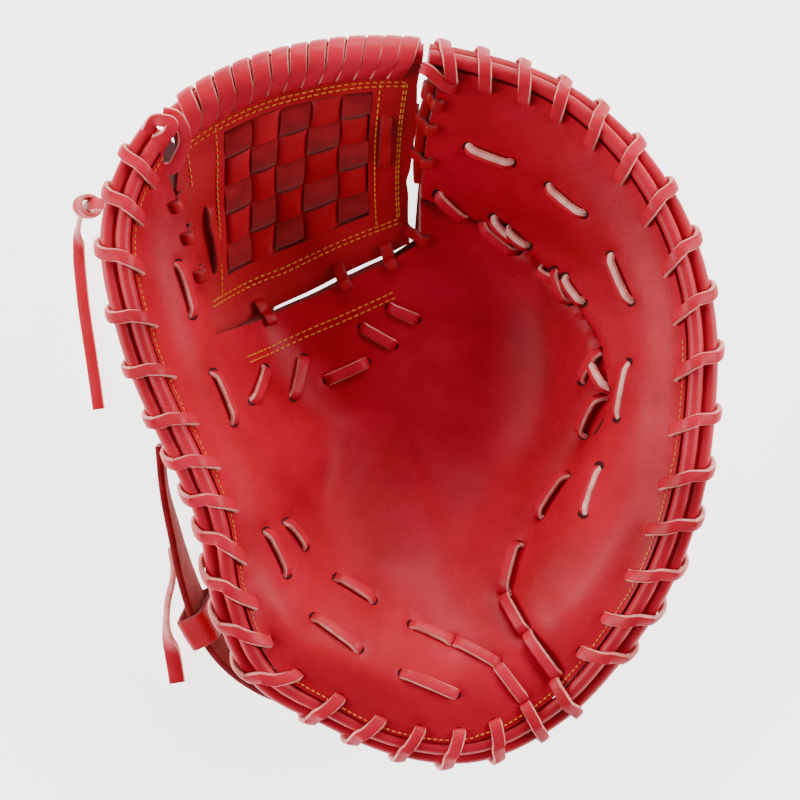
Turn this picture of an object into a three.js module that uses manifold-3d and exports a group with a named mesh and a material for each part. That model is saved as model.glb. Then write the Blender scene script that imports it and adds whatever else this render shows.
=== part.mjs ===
// First baseman mitt for the left hand, lying on its back with the pocket up.
// Millimetres, +Z up, heel towards -Y, finger tips towards +Y, thumb towards -X.
// The mitt rests on the plane z = 0.
import * as THREE from 'three';
import { mergeVertices } from 'three/addons/utils/BufferGeometryUtils.js';
import Module from 'manifold-3d';

const wasm = await Module();
wasm.setup();

// Driving dimensions
const mitt_length = 308;
const mitt_width = 260;
const mitt_depth = 118;
const pocket_floor = 33;
const palm_thickness = 5;
const back_leather = 2.8;
const web_leather = 3.2;
const weave_leather = 1.6;
const weave_lift = 1.3;
const weave_tuck = 3.5;
const welt_diameter = 6.4;
const welt_overhang = 0.875 * welt_diameter;
const binding_diameter = 9;
const lace_width = 6.2;
const lace_thickness = 2;
const palm_hole_depth = 11;
const back_hole_depth = 10;
const web_hole_depth = 6.5;
const stall_bulge = 6;
const web_setback = 2;
const edge_hole_inset = 6.5;
const strap_width = 26;
const strap_thickness = 3;
const keeper_wall = 2.2;
const keeper_length = 15;
const keeper_room = 3.2;
const keeper_side_room = 1.4;
const knot_diameter = 15;
const adjuster_width = 7.5;
const adjuster_thickness = 2.4;

// Clearances
const seat_gap = 0.4;
const hole_clearance = 1.35;
const lace_float = 0.8;
const lace_turn = 60;
const turn_slack = 0.2;
const shortest_edge = 0.03;
const tie_slack = 1;
const tie_span = 16;

// Counts
const binding_turns = 13;
const weave_count = 5;
const stall_count = 4;
const thumb_stations = 13;
const finger_stations = 4 * stall_count + 1;
const welt_stations = 55;
const binding_stations = 16;

// Where each part of the rim begins and ends, in degrees round the pocket centre
const thumb_tip = 135;
const finger_tip = 444.5;
const thumb_back_end = 240;
const finger_back_start = 303;
const rim_scan = { from: 80, to: 460 };

// The bowl, every 15 degrees from +X. reach is the rim's distance from the pocket centre in
// shares of the mitt's width and length. rim, low and high are heights in shares of its depth.
// foot and crest are where the wall starts to rise and where it is nearly up, in shares of the
// reach. lean is the wall's slope at the rim, and tuck how far the back welt sits below the
// palm welt, both in degrees.
const bowl = [
  { reach: 0.478, rim: 0.97, foot: 0.5, low: 0.35, crest: 0.86, high: 0.82, lean: 58, tuck: 22 },
  { reach: 0.495, rim: 0.97, foot: 0.51, low: 0.35, crest: 0.86, high: 0.82, lean: 58, tuck: 24 },
  { reach: 0.505, rim: 0.96, foot: 0.52, low: 0.35, crest: 0.86, high: 0.81, lean: 56, tuck: 30 },
  { reach: 0.507, rim: 0.95, foot: 0.52, low: 0.36, crest: 0.86, high: 0.8, lean: 54, tuck: 42 },
  { reach: 0.502, rim: 0.94, foot: 0.5, low: 0.36, crest: 0.85, high: 0.78, lean: 50, tuck: 58 },
  { reach: 0.489, rim: 0.94, foot: 0.5, low: 0.37, crest: 0.85, high: 0.79, lean: 48, tuck: 62 },
  { reach: 0.488, rim: 0.96, foot: 0.45, low: 0.37, crest: 0.83, high: 0.79, lean: 50, tuck: 60 },
  { reach: 0.501, rim: 0.98, foot: 0.42, low: 0.36, crest: 0.81, high: 0.79, lean: 52, tuck: 40 },
  { reach: 0.522, rim: 0.99, foot: 0.42, low: 0.36, crest: 0.8, high: 0.78, lean: 54, tuck: 25 },
  { reach: 0.538, rim: 1.0, foot: 0.5, low: 0.37, crest: 0.81, high: 0.79, lean: 58, tuck: 20 },
  { reach: 0.516, rim: 1.0, foot: 0.52, low: 0.34, crest: 0.8, high: 0.77, lean: 64, tuck: 18 },
  { reach: 0.439, rim: 0.98, foot: 0.5, low: 0.33, crest: 0.79, high: 0.75, lean: 67, tuck: 16 },
  { reach: 0.375, rim: 0.96, foot: 0.46, low: 0.32, crest: 0.79, high: 0.74, lean: 67, tuck: 16 },
  { reach: 0.339, rim: 0.93, foot: 0.43, low: 0.33, crest: 0.8, high: 0.74, lean: 65, tuck: 18 },
  { reach: 0.338, rim: 0.88, foot: 0.43, low: 0.34, crest: 0.82, high: 0.73, lean: 60, tuck: 22 },
  { reach: 0.383, rim: 0.8, foot: 0.46, low: 0.37, crest: 0.84, high: 0.71, lean: 40, tuck: 30 },
  { reach: 0.432, rim: 0.7, foot: 0.49, low: 0.41, crest: 0.84, high: 0.71, lean: 5, tuck: 42 },
  { reach: 0.446, rim: 0.65, foot: 0.49, low: 0.41, crest: 0.82, high: 0.71, lean: -20, tuck: 50 },
  { reach: 0.474, rim: 0.62, foot: 0.47, low: 0.4, crest: 0.8, high: 0.69, lean: -25, tuck: 52 },
  { reach: 0.498, rim: 0.6, foot: 0.42, low: 0.37, crest: 0.8, high: 0.64, lean: -20, tuck: 50 },
  { reach: 0.496, rim: 0.6, foot: 0.38, low: 0.35, crest: 0.8, high: 0.61, lean: -5, tuck: 45 },
  { reach: 0.482, rim: 0.72, foot: 0.4, low: 0.34, crest: 0.82, high: 0.7, lean: 10, tuck: 38 },
  { reach: 0.475, rim: 0.86, foot: 0.45, low: 0.34, crest: 0.83, high: 0.79, lean: 30, tuck: 28 },
  { reach: 0.473, rim: 0.94, foot: 0.48, low: 0.34, crest: 0.86, high: 0.82, lean: 48, tuck: 22 },
];

// The palm's inner edge, from the thumb tip down to the crotch, along the pocket's spine and
// back, then up to the finger tip: the rim angle that each point belongs to, its place in
// shares of the mitt's width and length, and the rows of the grid up to the next one. The
// spine's points come twice, once for each side.
const palm_edge = [
  { rim: thumb_tip, x: -0.388, y: 0.357, steps: 1 },
  { rim: 143, x: -0.366, y: 0.297, steps: 1 },
  { rim: 153, x: -0.335, y: 0.219, steps: 1 },
  { rim: 161, x: -0.319, y: 0.165, steps: 1 },
  { rim: 168, x: -0.304, y: 0.105, steps: 2 },
  { rim: 190, x: -0.243, y: 0.125, steps: 2 },
  { rim: 215, x: -0.138, y: 0.164, steps: 3 },
  { rim: 240, x: -0.093, y: 0.071, steps: 3 },
  { rim: 262, x: -0.042, y: -0.029, steps: 3 },
  { rim: 290, x: -0.008, y: -0.1, steps: 3 },
  { rim: 320, x: -0.042, y: -0.029, steps: 3 },
  { rim: 345, x: -0.093, y: 0.071, steps: 3 },
  { rim: 375, x: -0.138, y: 0.164, steps: 3 },
  { rim: 405, x: -0.051, y: 0.199, steps: 2 },
  { rim: 422, x: 0.035, y: 0.225, steps: 1 },
  { rim: 430, x: 0.035, y: 0.31, steps: 1 },
  { rim: 438, x: 0.046, y: 0.389, steps: 1 },
  { rim: finger_tip, x: 0.065, y: 0.447, steps: 1 },
];
const palm_rows = [0, 0.16, 0.33, 0.49, 0.64, 0.78, 0.9, 1];

// The split between the pocket and the finger half of the palm, which a lace draws together
const palm_split = [
  { x: 0.02, y: 0.3 },
  { x: 0.134, y: 0.259 },
  { x: 0.217, y: 0.217 },
  { x: 0.275, y: 0.166 },
  { x: 0.32, y: 0.106 },
  { x: 0.339, y: 0.056 },
  { x: 0.337, y: 0.014 },
];
const split_width = 1.4;

// Web: its top and bottom edges from the thumb side to the finger side
const web_top_start = 132.5;
const web_top_end = 85.5;
const web_bottom = [
  { x: -0.308, y: 0.098 },
  { x: -0.25, y: 0.122 },
  { x: -0.19, y: 0.146 },
  { x: -0.065, y: 0.195 },
  { x: 0.022, y: 0.226 },
];
const web_waist = 0.014;
const web_top_drop = 0.045;
const web_hem = 0.1;
const window_sides = [0.19, 0.81];
const window_ends = [0.131, 0.775];

// Back of the mitt: distances from the pocket centre in shares of the rim's, heights in shares
// of the rim's height
const back_profile = [
  { out: 1.01, up: 0.62 },
  { out: 0.94, up: 0.27 },
  { out: 0.86, up: 0.06 },
  { out: 0.76, up: 0 },
  { out: 0.52, up: 0 },
];

// Wrist strap: its middle line and its width's tilt from upright
const strap_route = [
  { x: -0.405, y: -0.05, z: 0.36, tilt: 0 },
  { x: -0.398, y: -0.114, z: 0.35, tilt: 0 },
  { x: -0.383, y: -0.171, z: 0.33, tilt: 4 },
  { x: -0.364, y: -0.236, z: 0.29, tilt: 10 },
  { x: -0.335, y: -0.3, z: 0.25, tilt: 18 },
  { x: -0.285, y: -0.352, z: 0.2, tilt: 32 },
  { x: -0.21, y: -0.386, z: 0.14, tilt: 52 },
  { x: -0.12, y: -0.395, z: 0.085, tilt: 72 },
  { x: -0.02, y: -0.38, z: 0.055, tilt: 85 },
  { x: 0.08, y: -0.34, z: 0.045, tilt: 90 },
  { x: 0.15, y: -0.29, z: 0.043, tilt: 90 },
  { x: 0.2, y: -0.24, z: 0.043, tilt: 90 },
];

// The binding's wraps: where along the web's top the first starts and the last ends, and how
// far each has gone towards the next, in shares of their spacing, where it meets the roll in
// front and where it leaves it behind
const binding_start = 0.045;
const binding_end = 0.965;
const wrap_rise = 0.4;
const wrap_fall = 0.95;

// Where a woven strip starts and stops crossing each of its neighbours, and how much of its
// place it fills
const weave_fall = 0.12;
const weave_fill = 0.76;

// Places down the back leathers, from the welts to the middle of the back
const back_rows = [0, 0.14, 0.34, 0.52, 0.68, 0.84, 1];

// Where the keeper sits along the wrist strap
const keeper_share = 0.36;

// Runs of rim lace: rim angles of the first and last hole, how far each loop leans towards the
// next in shares of their spacing, and whether it goes in through a back leather
const rim_runs = [
  { name: 'rim_lace_thumb', start: 236.2, end: 142.4, loops: 11, slant: 0.9, has_back: true },
  { name: 'rim_lace_heel', start: 302.3, end: 246.5, loops: 8, slant: 0.5, has_back: false },
  { name: 'rim_lace_fingers', start: 311.7, end: 393, loops: 10, slant: 0.65, has_back: true },
  { name: 'rim_lace_tips', start: 401.5, end: 439, loops: 6, slant: 0.35, has_back: true },
];

// Where laces tie the web to the palm: how far along the palm's inner edge, counted in its
// points, and where on the web (a across, b down, both from 0 to 1)
const finger_side_ties = [
  { edge: 16.55, a: 0.955, b: 0.162 },
  { edge: 16, a: 0.955, b: 0.34 },
  { edge: 15.45, a: 0.955, b: 0.55 },
  { edge: 14.2, a: 0.955, b: 0.948 },
];
const thumb_side_ties = [
  { edge: 1.2, a: 0.12, b: 0.372 },
  { edge: 1.75, a: 0.128, b: 0.55 },
  { edge: 2.6, a: 0.13, b: 0.738 },
];
const crotch_ties = [
  { edge: 5.2, a: 0.365, b: 0.906 },
  { edge: 12.5, a: 0.655, b: 0.906 },
  { edge: 13.4, a: 0.86, b: 0.906 },
];

// Stitches of the split's lace: places along the split where each one starts and ends
const split_stitches = [
  { near: 0.2, far: 0.23 },
  { near: 0.35, far: 0.4 },
  { near: 0.5, far: 0.56 },
  { near: 0.65, far: 0.73 },
  { near: 0.83, far: 0.92 },
];
const split_stitch_reach = 7;

// The thumb lace's tail, from its hole in the thumb's back down to the floor and along it
const thumb_tail_route = [
  { x: -0.451, y: 0.286, z: 0.8 },
  { x: -0.4455, y: 0.2865, z: 0.745 },
  { x: -0.4405, y: 0.287, z: 0.69 },
  { x: -0.442, y: 0.2875, z: 0.64 },
  { x: -0.4545, y: 0.288, z: 0.595 },
  { x: -0.474, y: 0.289, z: 0.555 },
  { x: -0.496, y: 0.29, z: 0.515 },
  { x: -0.512, y: 0.29, z: 0.465 },
  { x: -0.524, y: 0.289, z: 0.405 },
  { x: -0.533, y: 0.287, z: 0.34 },
  { x: -0.54, y: 0.283, z: 0.27 },
  { x: -0.546, y: 0.277, z: 0.2 },
  { x: -0.551, y: 0.268, z: 0.13 },
  { x: -0.555, y: 0.255, z: 0.07 },
  { x: -0.556, y: 0.238, z: 0.03 },
  { x: -0.556, y: 0.217, z: 0.014 },
  { x: -0.553, y: 0.19, z: 0.014 },
  { x: -0.548, y: 0.15, z: 0.014 },
  { x: -0.541, y: 0.11, z: 0.014 },
  { x: -0.533, y: 0.065, z: 0.014 },
  { x: -0.524, y: 0.02, z: 0.014 },
];
const thumb_tail_face = { x: -1, y: 0.17, z: -0.2 };
const knot_share = 0.4;

// The adjusting lace's loose tongue, from the strap over the keeper and down to the floor
const adjuster_route = [
  { x: -0.3882, y: -0.1997, z: 0.314 },
  { x: -0.3853, y: -0.2156, z: 0.303 },
  { x: -0.3842, y: -0.2305, z: 0.292 },
  { x: -0.3869, y: -0.2477, z: 0.275 },
  { x: -0.3931, y: -0.2662, z: 0.254 },
  { x: -0.3973, y: -0.2857, z: 0.223 },
  { x: -0.3992, y: -0.3039, z: 0.18 },
  { x: -0.3992, y: -0.3208, z: 0.127 },
  { x: -0.3973, y: -0.337, z: 0.07 },
  { x: -0.3946, y: -0.354, z: 0.03 },
  { x: -0.391, y: -0.373, z: 0.015 },
  { x: -0.386, y: -0.4, z: 0.015 },
];
const adjuster_face = { x: -0.98, y: -0.18, z: -0.06 };

const red = '#c4202b';
const dark_red = '#a01620';
const lace_red = '#cf3a3c';
const pale_hide = '#c98f7f';

const up = new THREE.Vector3(0, 0, 1);
const group = new THREE.Group();

function radians(degrees) {
  return THREE.MathUtils.degToRad(degrees);
}

function mix(a, b, t) {
  return a + (b - a) * t;
}

// Even values from a to b, both included
function between(a, b, count) {
  return Array.from({ length: count }, (_, i) => mix(a, b, i / (count - 1)));
}

function offset(point, ...moves) {
  const moved = point.clone();
  for (const [direction, distance] of moves) {
    moved.addScaledVector(direction, distance);
  }
  return moved;
}

// Smooth curve through a column of the bowl table, which closes on itself
function around(column, angle) {
  const count = bowl.length;
  const turn = (((angle % 360) + 360) % 360) / (360 / count);
  const i = Math.floor(turn);
  const t = turn - i;
  const [a, b, c, d] = [-1, 0, 1, 2].map((k) => bowl[(i + k + count) % count][column]);
  return b + 0.5 * t * (c - a + t * (2 * a - 5 * b + 4 * c - d + t * (3 * (b - c) + d - a)));
}

// Direction from the pocket centre towards a rim angle, and the rim's distance along it
function spoke(angle) {
  const x = Math.cos(radians(angle)) * mitt_width;
  const y = Math.sin(radians(angle)) * mitt_length;
  const long = Math.hypot(x, y);
  const reach = around('reach', angle) * long - welt_overhang;
  return { x: x / long, y: y / long, reach };
}

function hermite(z0, z1, slope0, slope1, width, t) {
  const a = 2 * t ** 3 - 3 * t ** 2 + 1;
  const b = t ** 3 - 2 * t ** 2 + t;
  const c = t ** 3 - t ** 2;
  return a * z0 + b * width * slope0 + (1 - a) * z1 + c * width * slope1;
}

// Height of the palm's face over a point of the plan
function bowlHeight(x, y) {
  const angle = THREE.MathUtils.radToDeg(Math.atan2(y / mitt_length, x / mitt_width));
  const { reach } = spoke(angle);
  const out = Math.hypot(x, y) / reach;
  const foot = around('foot', angle);
  const crest = around('crest', angle);
  const low = around('low', angle) * mitt_depth;
  const high = around('high', angle) * mitt_depth;
  const rim = around('rim', angle) * mitt_depth;
  const rim_slope = Math.tan(radians(around('lean', angle))) * reach;
  const foot_slope = (high - pocket_floor) / crest;
  const crest_slope = (rim - low) / (1 - foot);
  if (out > 1) {
    return rim + (out - 1) * rim_slope;
  }
  if (out > crest) {
    const t = (out - crest) / (1 - crest);
    return hermite(high, rim, crest_slope, rim_slope, 1 - crest, t);
  }
  if (out > foot) {
    return hermite(low, high, foot_slope, crest_slope, crest - foot, (out - foot) / (crest - foot));
  }
  return hermite(pocket_floor, low, 0, foot_slope, foot, out / foot);
}

// A place on the palm's face, with the direction that points up out of the leather
function facePoint(x, y) {
  const step = 1;
  const rise_x = (bowlHeight(x + step, y) - bowlHeight(x - step, y)) / (2 * step);
  const rise_y = (bowlHeight(x, y + step) - bowlHeight(x, y - step)) / (2 * step);
  const normal = new THREE.Vector3(-rise_x, -rise_y, 1).normalize();
  return { point: new THREE.Vector3(x, y, bowlHeight(x, y)), normal };
}

function rimPlace(angle) {
  const { x, y, reach } = spoke(angle);
  return new THREE.Vector3(x * reach, y * reach, around('rim', angle) * mitt_depth);
}

function rimTangent(angle) {
  return rimPlace(angle + 0.5).sub(rimPlace(angle - 0.5)).normalize();
}

// The rim at an angle: the edge of the palm's face, the direction that the wall runs up, the
// direction out of its face, the direction from the palm welt to the back welt, and the welts
function rimFrame(angle) {
  const face = rimPlace(angle);
  const along = rimTangent(angle);
  const outward = new THREE.Vector3().crossVectors(along, up).normalize();
  const upright = new THREE.Vector3().crossVectors(outward, along);
  const surface = facePoint(face.x * 0.995, face.y * 0.995).normal;
  const rise = new THREE.Vector3().crossVectors(along, surface).normalize();
  const inward = new THREE.Vector3().crossVectors(rise, along);
  const tuck = radians(around('tuck', angle));
  const across = offset(new THREE.Vector3(), [outward, Math.cos(tuck)], [upright, -Math.sin(tuck)]);
  const edge = offset(face, [inward, -palm_thickness / 2]);
  const palm_welt = offset(edge, [rise, welt_diameter / 2 + seat_gap]);
  const back_welt = offset(palm_welt, [across, welt_diameter + seat_gap]);
  return { face, along, rise, across, inward, palm_welt, back_welt };
}

// Rim angles at even distances along the rim
const rim_marks = [];
for (let angle = rim_scan.from; angle <= rim_scan.to; angle += 1) {
  const last = rim_marks[rim_marks.length - 1];
  const { face } = rimFrame(angle);
  const far = last ? last.far + face.distanceTo(last.face) : 0;
  rim_marks.push({ angle, face, far });
}

function rimDistance(angle) {
  const i = Math.floor(angle - rim_marks[0].angle);
  return mix(rim_marks[i].far, rim_marks[i + 1].far, angle - rim_marks[i].angle);
}

function rimAngle(distance) {
  const i = rim_marks.findIndex((mark) => mark.far > distance);
  const a = rim_marks[i - 1];
  const b = rim_marks[i];
  return mix(a.angle, b.angle, (distance - a.far) / (b.far - a.far));
}

// A place on the palm's face at a depth below the rim, measured along the leather
function palmBelowRim(angle, depth) {
  const { x, y, reach } = spoke(angle);
  const step = 0.5;
  let out = reach;
  let walked = 0;
  while (walked < depth) {
    const rise = bowlHeight(x * out, y * out) - bowlHeight(x * (out - step), y * (out - step));
    walked += Math.hypot(step, rise);
    out -= step;
  }
  return facePoint(x * out, y * out);
}

// How far the finger stalls and the thumb stall stand out, from 0 to 1
function stallShare(angle) {
  if (angle > thumb_back_end) {
    const turn = (angle - finger_back_start) / (finger_tip - finger_back_start);
    return Math.abs(Math.sin(Math.PI * stall_count * turn));
  }
  return Math.sin((Math.PI * (angle - thumb_tip)) / (thumb_back_end - thumb_tip));
}

// The back leather's outer face down one spoke, from the back welt to its free edge
function backSection(angle) {
  const frame = rimFrame(angle);
  const { x, y, reach } = spoke(angle);
  const bulge = stall_bulge * stallShare(angle);
  const start = offset(
    frame.back_welt,
    [frame.rise, -welt_diameter / 2 - seat_gap],
    [frame.inward, -back_leather / 2],
  );
  const points = [start];
  for (const { out, up: height } of back_profile) {
    const swell = height > 0 ? bulge : 0;
    const far = reach * out + swell;
    points.push(new THREE.Vector3(x * far, y * far, frame.face.z * height));
  }
  return new THREE.CatmullRomCurve3(points, false, 'centripetal');
}

// A place on the back's outer face, with the direction that points out of the leather
function backPoint(angle, share) {
  const curve = backSection(angle);
  const point = curve.getPointAt(share);
  const along = curve.getTangentAt(share);
  const { x, y } = spoke(angle);
  const side = new THREE.Vector3(-y, x, 0);
  const normal = new THREE.Vector3().crossVectors(along, side).normalize();
  point.z = Math.max(point.z, 0);
  if (point.z === 0) {
    normal.set(0, 0, -1);
  }
  return { point, normal };
}

function backBelowRim(angle, depth) {
  return backPoint(angle, depth / backSection(angle).getLength());
}

// A leather panel: a grid of places on its front, the same grid behind it, and walls round
// every free edge. cut(i, j) leaves a cell of the grid open.
function panel(grid, cut = () => false) {
  const rows = grid.length;
  const columns = grid[0].length;
  const places = grid.flat();
  const keys = places.map(({ front }) => front.toArray().map((v) => v.toFixed(3)).join(' '));
  const first = new Map();
  keys.forEach((key, i) => {
    if (!first.has(key)) {
      first.set(key, i);
    }
  });
  const at = (i, j) => first.get(keys[i * columns + j]);
  const faces = [];
  for (let i = 0; i < rows - 1; i += 1) {
    for (let j = 0; j < columns - 1; j += 1) {
      if (!cut(i, j)) {
        const [a, b, c, d] = [at(i, j), at(i, j + 1), at(i + 1, j + 1), at(i + 1, j)];
        faces.push([a, b, c], [a, c, d]);
      }
    }
  }
  const solid_faces = faces.filter(([a, b, c]) => a !== b && b !== c && c !== a);
  const edges = new Set();
  for (const [a, b, c] of solid_faces) {
    edges.add(`${a} ${b}`).add(`${b} ${c}`).add(`${c} ${a}`);
  }
  const behind = places.length;
  const index = [];
  for (const [a, b, c] of solid_faces) {
    index.push(a, b, c, behind + a, behind + c, behind + b);
    for (const [p, q] of [[a, b], [b, c], [c, a]]) {
      if (!edges.has(`${q} ${p}`)) {
        index.push(p, behind + p, q, q, behind + p, behind + q);
      }
    }
  }
  const positions = [
    ...places.flatMap(({ front }) => front.toArray()),
    ...places.flatMap(({ back }) => back.toArray()),
  ];
  const geometry = new THREE.BufferGeometry();
  geometry.setAttribute('position', new THREE.Float32BufferAttribute(positions, 3));
  geometry.setIndex(index);
  return geometry;
}

// A flat band swept along a path. Each stop has a point and the direction its face looks.
function band(stops, width, thickness) {
  const places = stops.map(({ point, face }, i) => {
    const before = stops[Math.max(i - 1, 0)].point;
    const after = stops[Math.min(i + 1, stops.length - 1)].point;
    const along = new THREE.Vector3().subVectors(after, before).normalize();
    const outward = face.clone().addScaledVector(along, -face.dot(along)).normalize();
    const side = new THREE.Vector3().crossVectors(along, outward).normalize();
    const corner = (s, t) => offset(point, [side, (s * width) / 2], [outward, (t * thickness) / 2]);
    return [corner(-1, 1), corner(1, 1), corner(1, -1), corner(-1, -1)];
  });
  const positions = places.flat().flatMap((corner) => corner.toArray());
  const index = [0, 2, 1, 0, 3, 2];
  for (let i = 0; i < places.length - 1; i += 1) {
    for (let k = 0; k < 4; k += 1) {
      const a = 4 * i + k;
      const b = 4 * i + ((k + 1) % 4);
      // Opposite faces share the way their quads are cut, so that a twist doesn't fold them together
      const cut = k < 2 ? [a, b, a + 4, b, b + 4, a + 4] : [a, b, b + 4, a, b + 4, a + 4];
      index.push(...cut);
    }
  }
  const end = 4 * (places.length - 1);
  index.push(end, end + 1, end + 2, end, end + 2, end + 3);
  const geometry = new THREE.BufferGeometry();
  geometry.setAttribute('position', new THREE.Float32BufferAttribute(positions, 3));
  geometry.setIndex(index);
  return geometry;
}

// A round tube along a smooth curve through some points
function tube(points, diameter, steps, sides) {
  const section = new THREE.Shape();
  section.absarc(0, 0, diameter / 2, 0, 2 * Math.PI);
  const extrudePath = new THREE.CatmullRomCurve3(points);
  return new THREE.ExtrudeGeometry(section, { steps, curveSegments: sides, extrudePath });
}

function toSolid(geometry) {
  const bare = geometry.clone();
  bare.deleteAttribute('normal');
  bare.deleteAttribute('uv');
  const merged = mergeVertices(bare, 1e-4);
  const vertProperties = new Float32Array(merged.attributes.position.array);
  const triVerts = new Uint32Array(merged.index.array);
  return new wasm.Manifold(new wasm.Mesh({ numProp: 3, vertProperties, triVerts }));
}

// Turns a solid back into a mesh, with edges too short to matter drawn into one point
function toGeometry(solid) {
  const { vertProperties, triVerts } = solid.getMesh();
  const corner = (i) => new THREE.Vector3().fromArray(vertProperties, 3 * i);
  const kept = Array.from({ length: vertProperties.length / 3 }, (_, i) => i);
  const root = (i) => (kept[i] === i ? i : root(kept[i]));
  for (let i = 0; i < triVerts.length; i += 3) {
    for (let k = 0; k < 3; k += 1) {
      const a = root(triVerts[i + k]);
      const b = root(triVerts[i + ((k + 1) % 3)]);
      if (a !== b && corner(a).distanceTo(corner(b)) < shortest_edge) {
        kept[Math.max(a, b)] = Math.min(a, b);
      }
    }
  }
  const index = [];
  for (let i = 0; i < triVerts.length; i += 3) {
    const [a, b, c] = [0, 1, 2].map((k) => root(triVerts[i + k]));
    if (a !== b && b !== c && c !== a) {
      index.push(a, b, c);
    }
  }
  const geometry = new THREE.BufferGeometry();
  geometry.setAttribute('position', new THREE.BufferAttribute(vertProperties, 3));
  geometry.setIndex(index);
  return geometry;
}

function cutAway(geometry, cutters) {
  let solid = toSolid(geometry);
  for (const cutter of cutters) {
    solid = solid.subtract(toSolid(cutter));
  }
  return toGeometry(solid);
}

// A slot through leather for one pass of lace
function laceHole({ point, normal }, along, thickness) {
  const wide = lace_width + 2 * hole_clearance;
  const high = lace_thickness + 2 * hole_clearance;
  const deep = 4 * thickness + 2 * lace_thickness;
  const side = along.clone().addScaledVector(normal, -along.dot(normal)).normalize();
  const rise = new THREE.Vector3().crossVectors(normal, side);
  const slot = new THREE.BoxGeometry(wide, high, deep);
  slot.applyMatrix4(new THREE.Matrix4().makeBasis(side, rise, normal));
  slot.translate(...offset(point, [normal, -thickness / 2]).toArray());
  return slot;
}

// The leathers as they are built, before the holes are cut
const palm_leather = new THREE.Mesh(panel(palmGrid()));
const thumb_leather = new THREE.Mesh(backPanel(thumb_tip, thumb_back_end, thumb_stations));
const finger_leather = new THREE.Mesh(backPanel(finger_back_start, finger_tip, finger_stations));
const web_hide = new THREE.Mesh(webFrame());
const feeler = new THREE.Raycaster();

// A place moved onto the leather's facets, along the way given
function seated({ point, normal }, leather = palm_leather, way = up.clone().negate()) {
  feeler.set(offset(point, [way, -mitt_depth / 4]), way);
  const [hit] = feeler.intersectObject(leather);
  return { point: hit ? hit.point : point, normal };
}

// The direction from the middle of a lashing to a place on it
function awayFrom(centre, point) {
  return new THREE.Vector3().subVectors(point, centre).normalize();
}

// Directions that turn from one to another about an axis, no more than lace_turn apart
function turned(from, to, axis) {
  const cross = new THREE.Vector3().crossVectors(from, to).dot(axis);
  const sweep = Math.atan2(cross, from.dot(to));
  const full = sweep < -turn_slack ? sweep + 2 * Math.PI : sweep;
  const count = Math.max(Math.ceil(full / radians(lace_turn)), 1) + 1;
  return between(0, full, count).map((angle) => from.clone().applyAxisAngle(axis, angle));
}

const palm_holes = [];
const back_holes = [];
const web_holes = [];
const lift = lace_thickness / 2 + lace_float;

// One run of rim lace: it comes up through the palm, crosses both welts on a slant, goes in
// through the back and on to the next hole. At the heel it goes round the welts instead.
function rimLace({ start, end, loops, slant, has_back }) {
  const from = rimDistance(start);
  const to = rimDistance(end);
  const pitch = (to - from) / (loops - 1);
  const clear = (welt_diameter / 2 + lift) / Math.cos(radians(lace_turn / 2));
  const stops = [];
  for (let k = 0; k < loops; k += 1) {
    const here = from + k * pitch;
    const at = (share) => rimAngle(here + share * slant * pitch);
    const hole = seated(palmBelowRim(at(0), palm_hole_depth));
    palm_holes.push(laceHole(hole, rimTangent(at(0)), palm_thickness));
    const addStop = (point, frame) => {
      const middle = offset(
        frame.palm_welt,
        [frame.across, (welt_diameter + seat_gap) / 2],
        [frame.rise, -palm_hole_depth / 3],
      );
      stops.push({ point, face: awayFrom(middle, point) });
    };
    addStop(offset(hole.point, [hole.normal, -palm_thickness - lift]), rimFrame(at(0)));
    addStop(offset(hole.point, [hole.normal, lift]), rimFrame(at(0)));
    const first = rimFrame(at(0.3));
    const top = new THREE.Vector3().crossVectors(first.across, first.along);
    const under = offset(first.inward, [first.rise, has_back ? 0 : 0.4]).normalize().negate();
    const turns = [
      ...turned(first.inward, top, first.along).map((way) => ['palm_welt', way]),
      ...turned(top, under, first.along).map((way) => ['back_welt', way]),
    ];
    turns.forEach(([welt, way], i) => {
      const frame = rimFrame(at(mix(0.2, 0.85, i / (turns.length - 1))));
      const slack = has_back ? 0 : lace_float;
      addStop(offset(frame[welt], [way, clear + slack]), frame);
    });
    if (has_back) {
      const smooth = backBelowRim(at(1), back_hole_depth);
      const leather = start < thumb_back_end ? thumb_leather : finger_leather;
      const out = seated(smooth, leather, smooth.normal.clone().negate());
      back_holes.push(laceHole(out, rimTangent(at(1)), back_leather));
      addStop(offset(out.point, [out.normal, lift + 0.2 * lace_thickness]), rimFrame(at(1)));
      addStop(offset(out.point, [out.normal, -back_leather - lift]), rimFrame(at(1)));
    }
  }
  return band(stops, lace_width, lace_thickness);
}

function add(name, geometry, color, roughness = 0.6) {
  const material = new THREE.MeshStandardMaterial({ color, roughness, metalness: 0 });
  const mesh = new THREE.Mesh(geometry, material);
  mesh.name = name;
  group.add(mesh);
}

// A polyline of shares, as places in the plan
function planCurve(rows) {
  const points = rows.map(({ x, y }) => new THREE.Vector3(x * mitt_width, y * mitt_length, 0));
  return new THREE.CatmullRomCurve3(points);
}

// A place on the palm's inner edge, counted along its points
function edgePlace(count) {
  const i = Math.min(Math.floor(count), palm_edge.length - 2);
  const a = palm_edge[i];
  const b = palm_edge[i + 1];
  const t = count - i;
  const x = mix(a.x, b.x, t) * mitt_width;
  const y = mix(a.y, b.y, t) * mitt_length;
  return { x, y, rim: mix(a.rim, b.rim, t) };
}

function palmGrid() {
  const grid = [];
  palm_edge.forEach(({ steps }, i) => {
    for (let k = 0; k < steps; k += 1) {
      const last = i === palm_edge.length - 1;
      const edge = edgePlace(last ? i : i + k / steps);
      const rim = rimPlace(edge.rim);
      grid.push(palm_rows.map((share) => {
        const { point, normal } = facePoint(mix(edge.x, rim.x, share), mix(edge.y, rim.y, share));
        return { front: point, back: offset(point, [normal, -palm_thickness]) };
      }));
    }
  });
  return grid;
}

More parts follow.
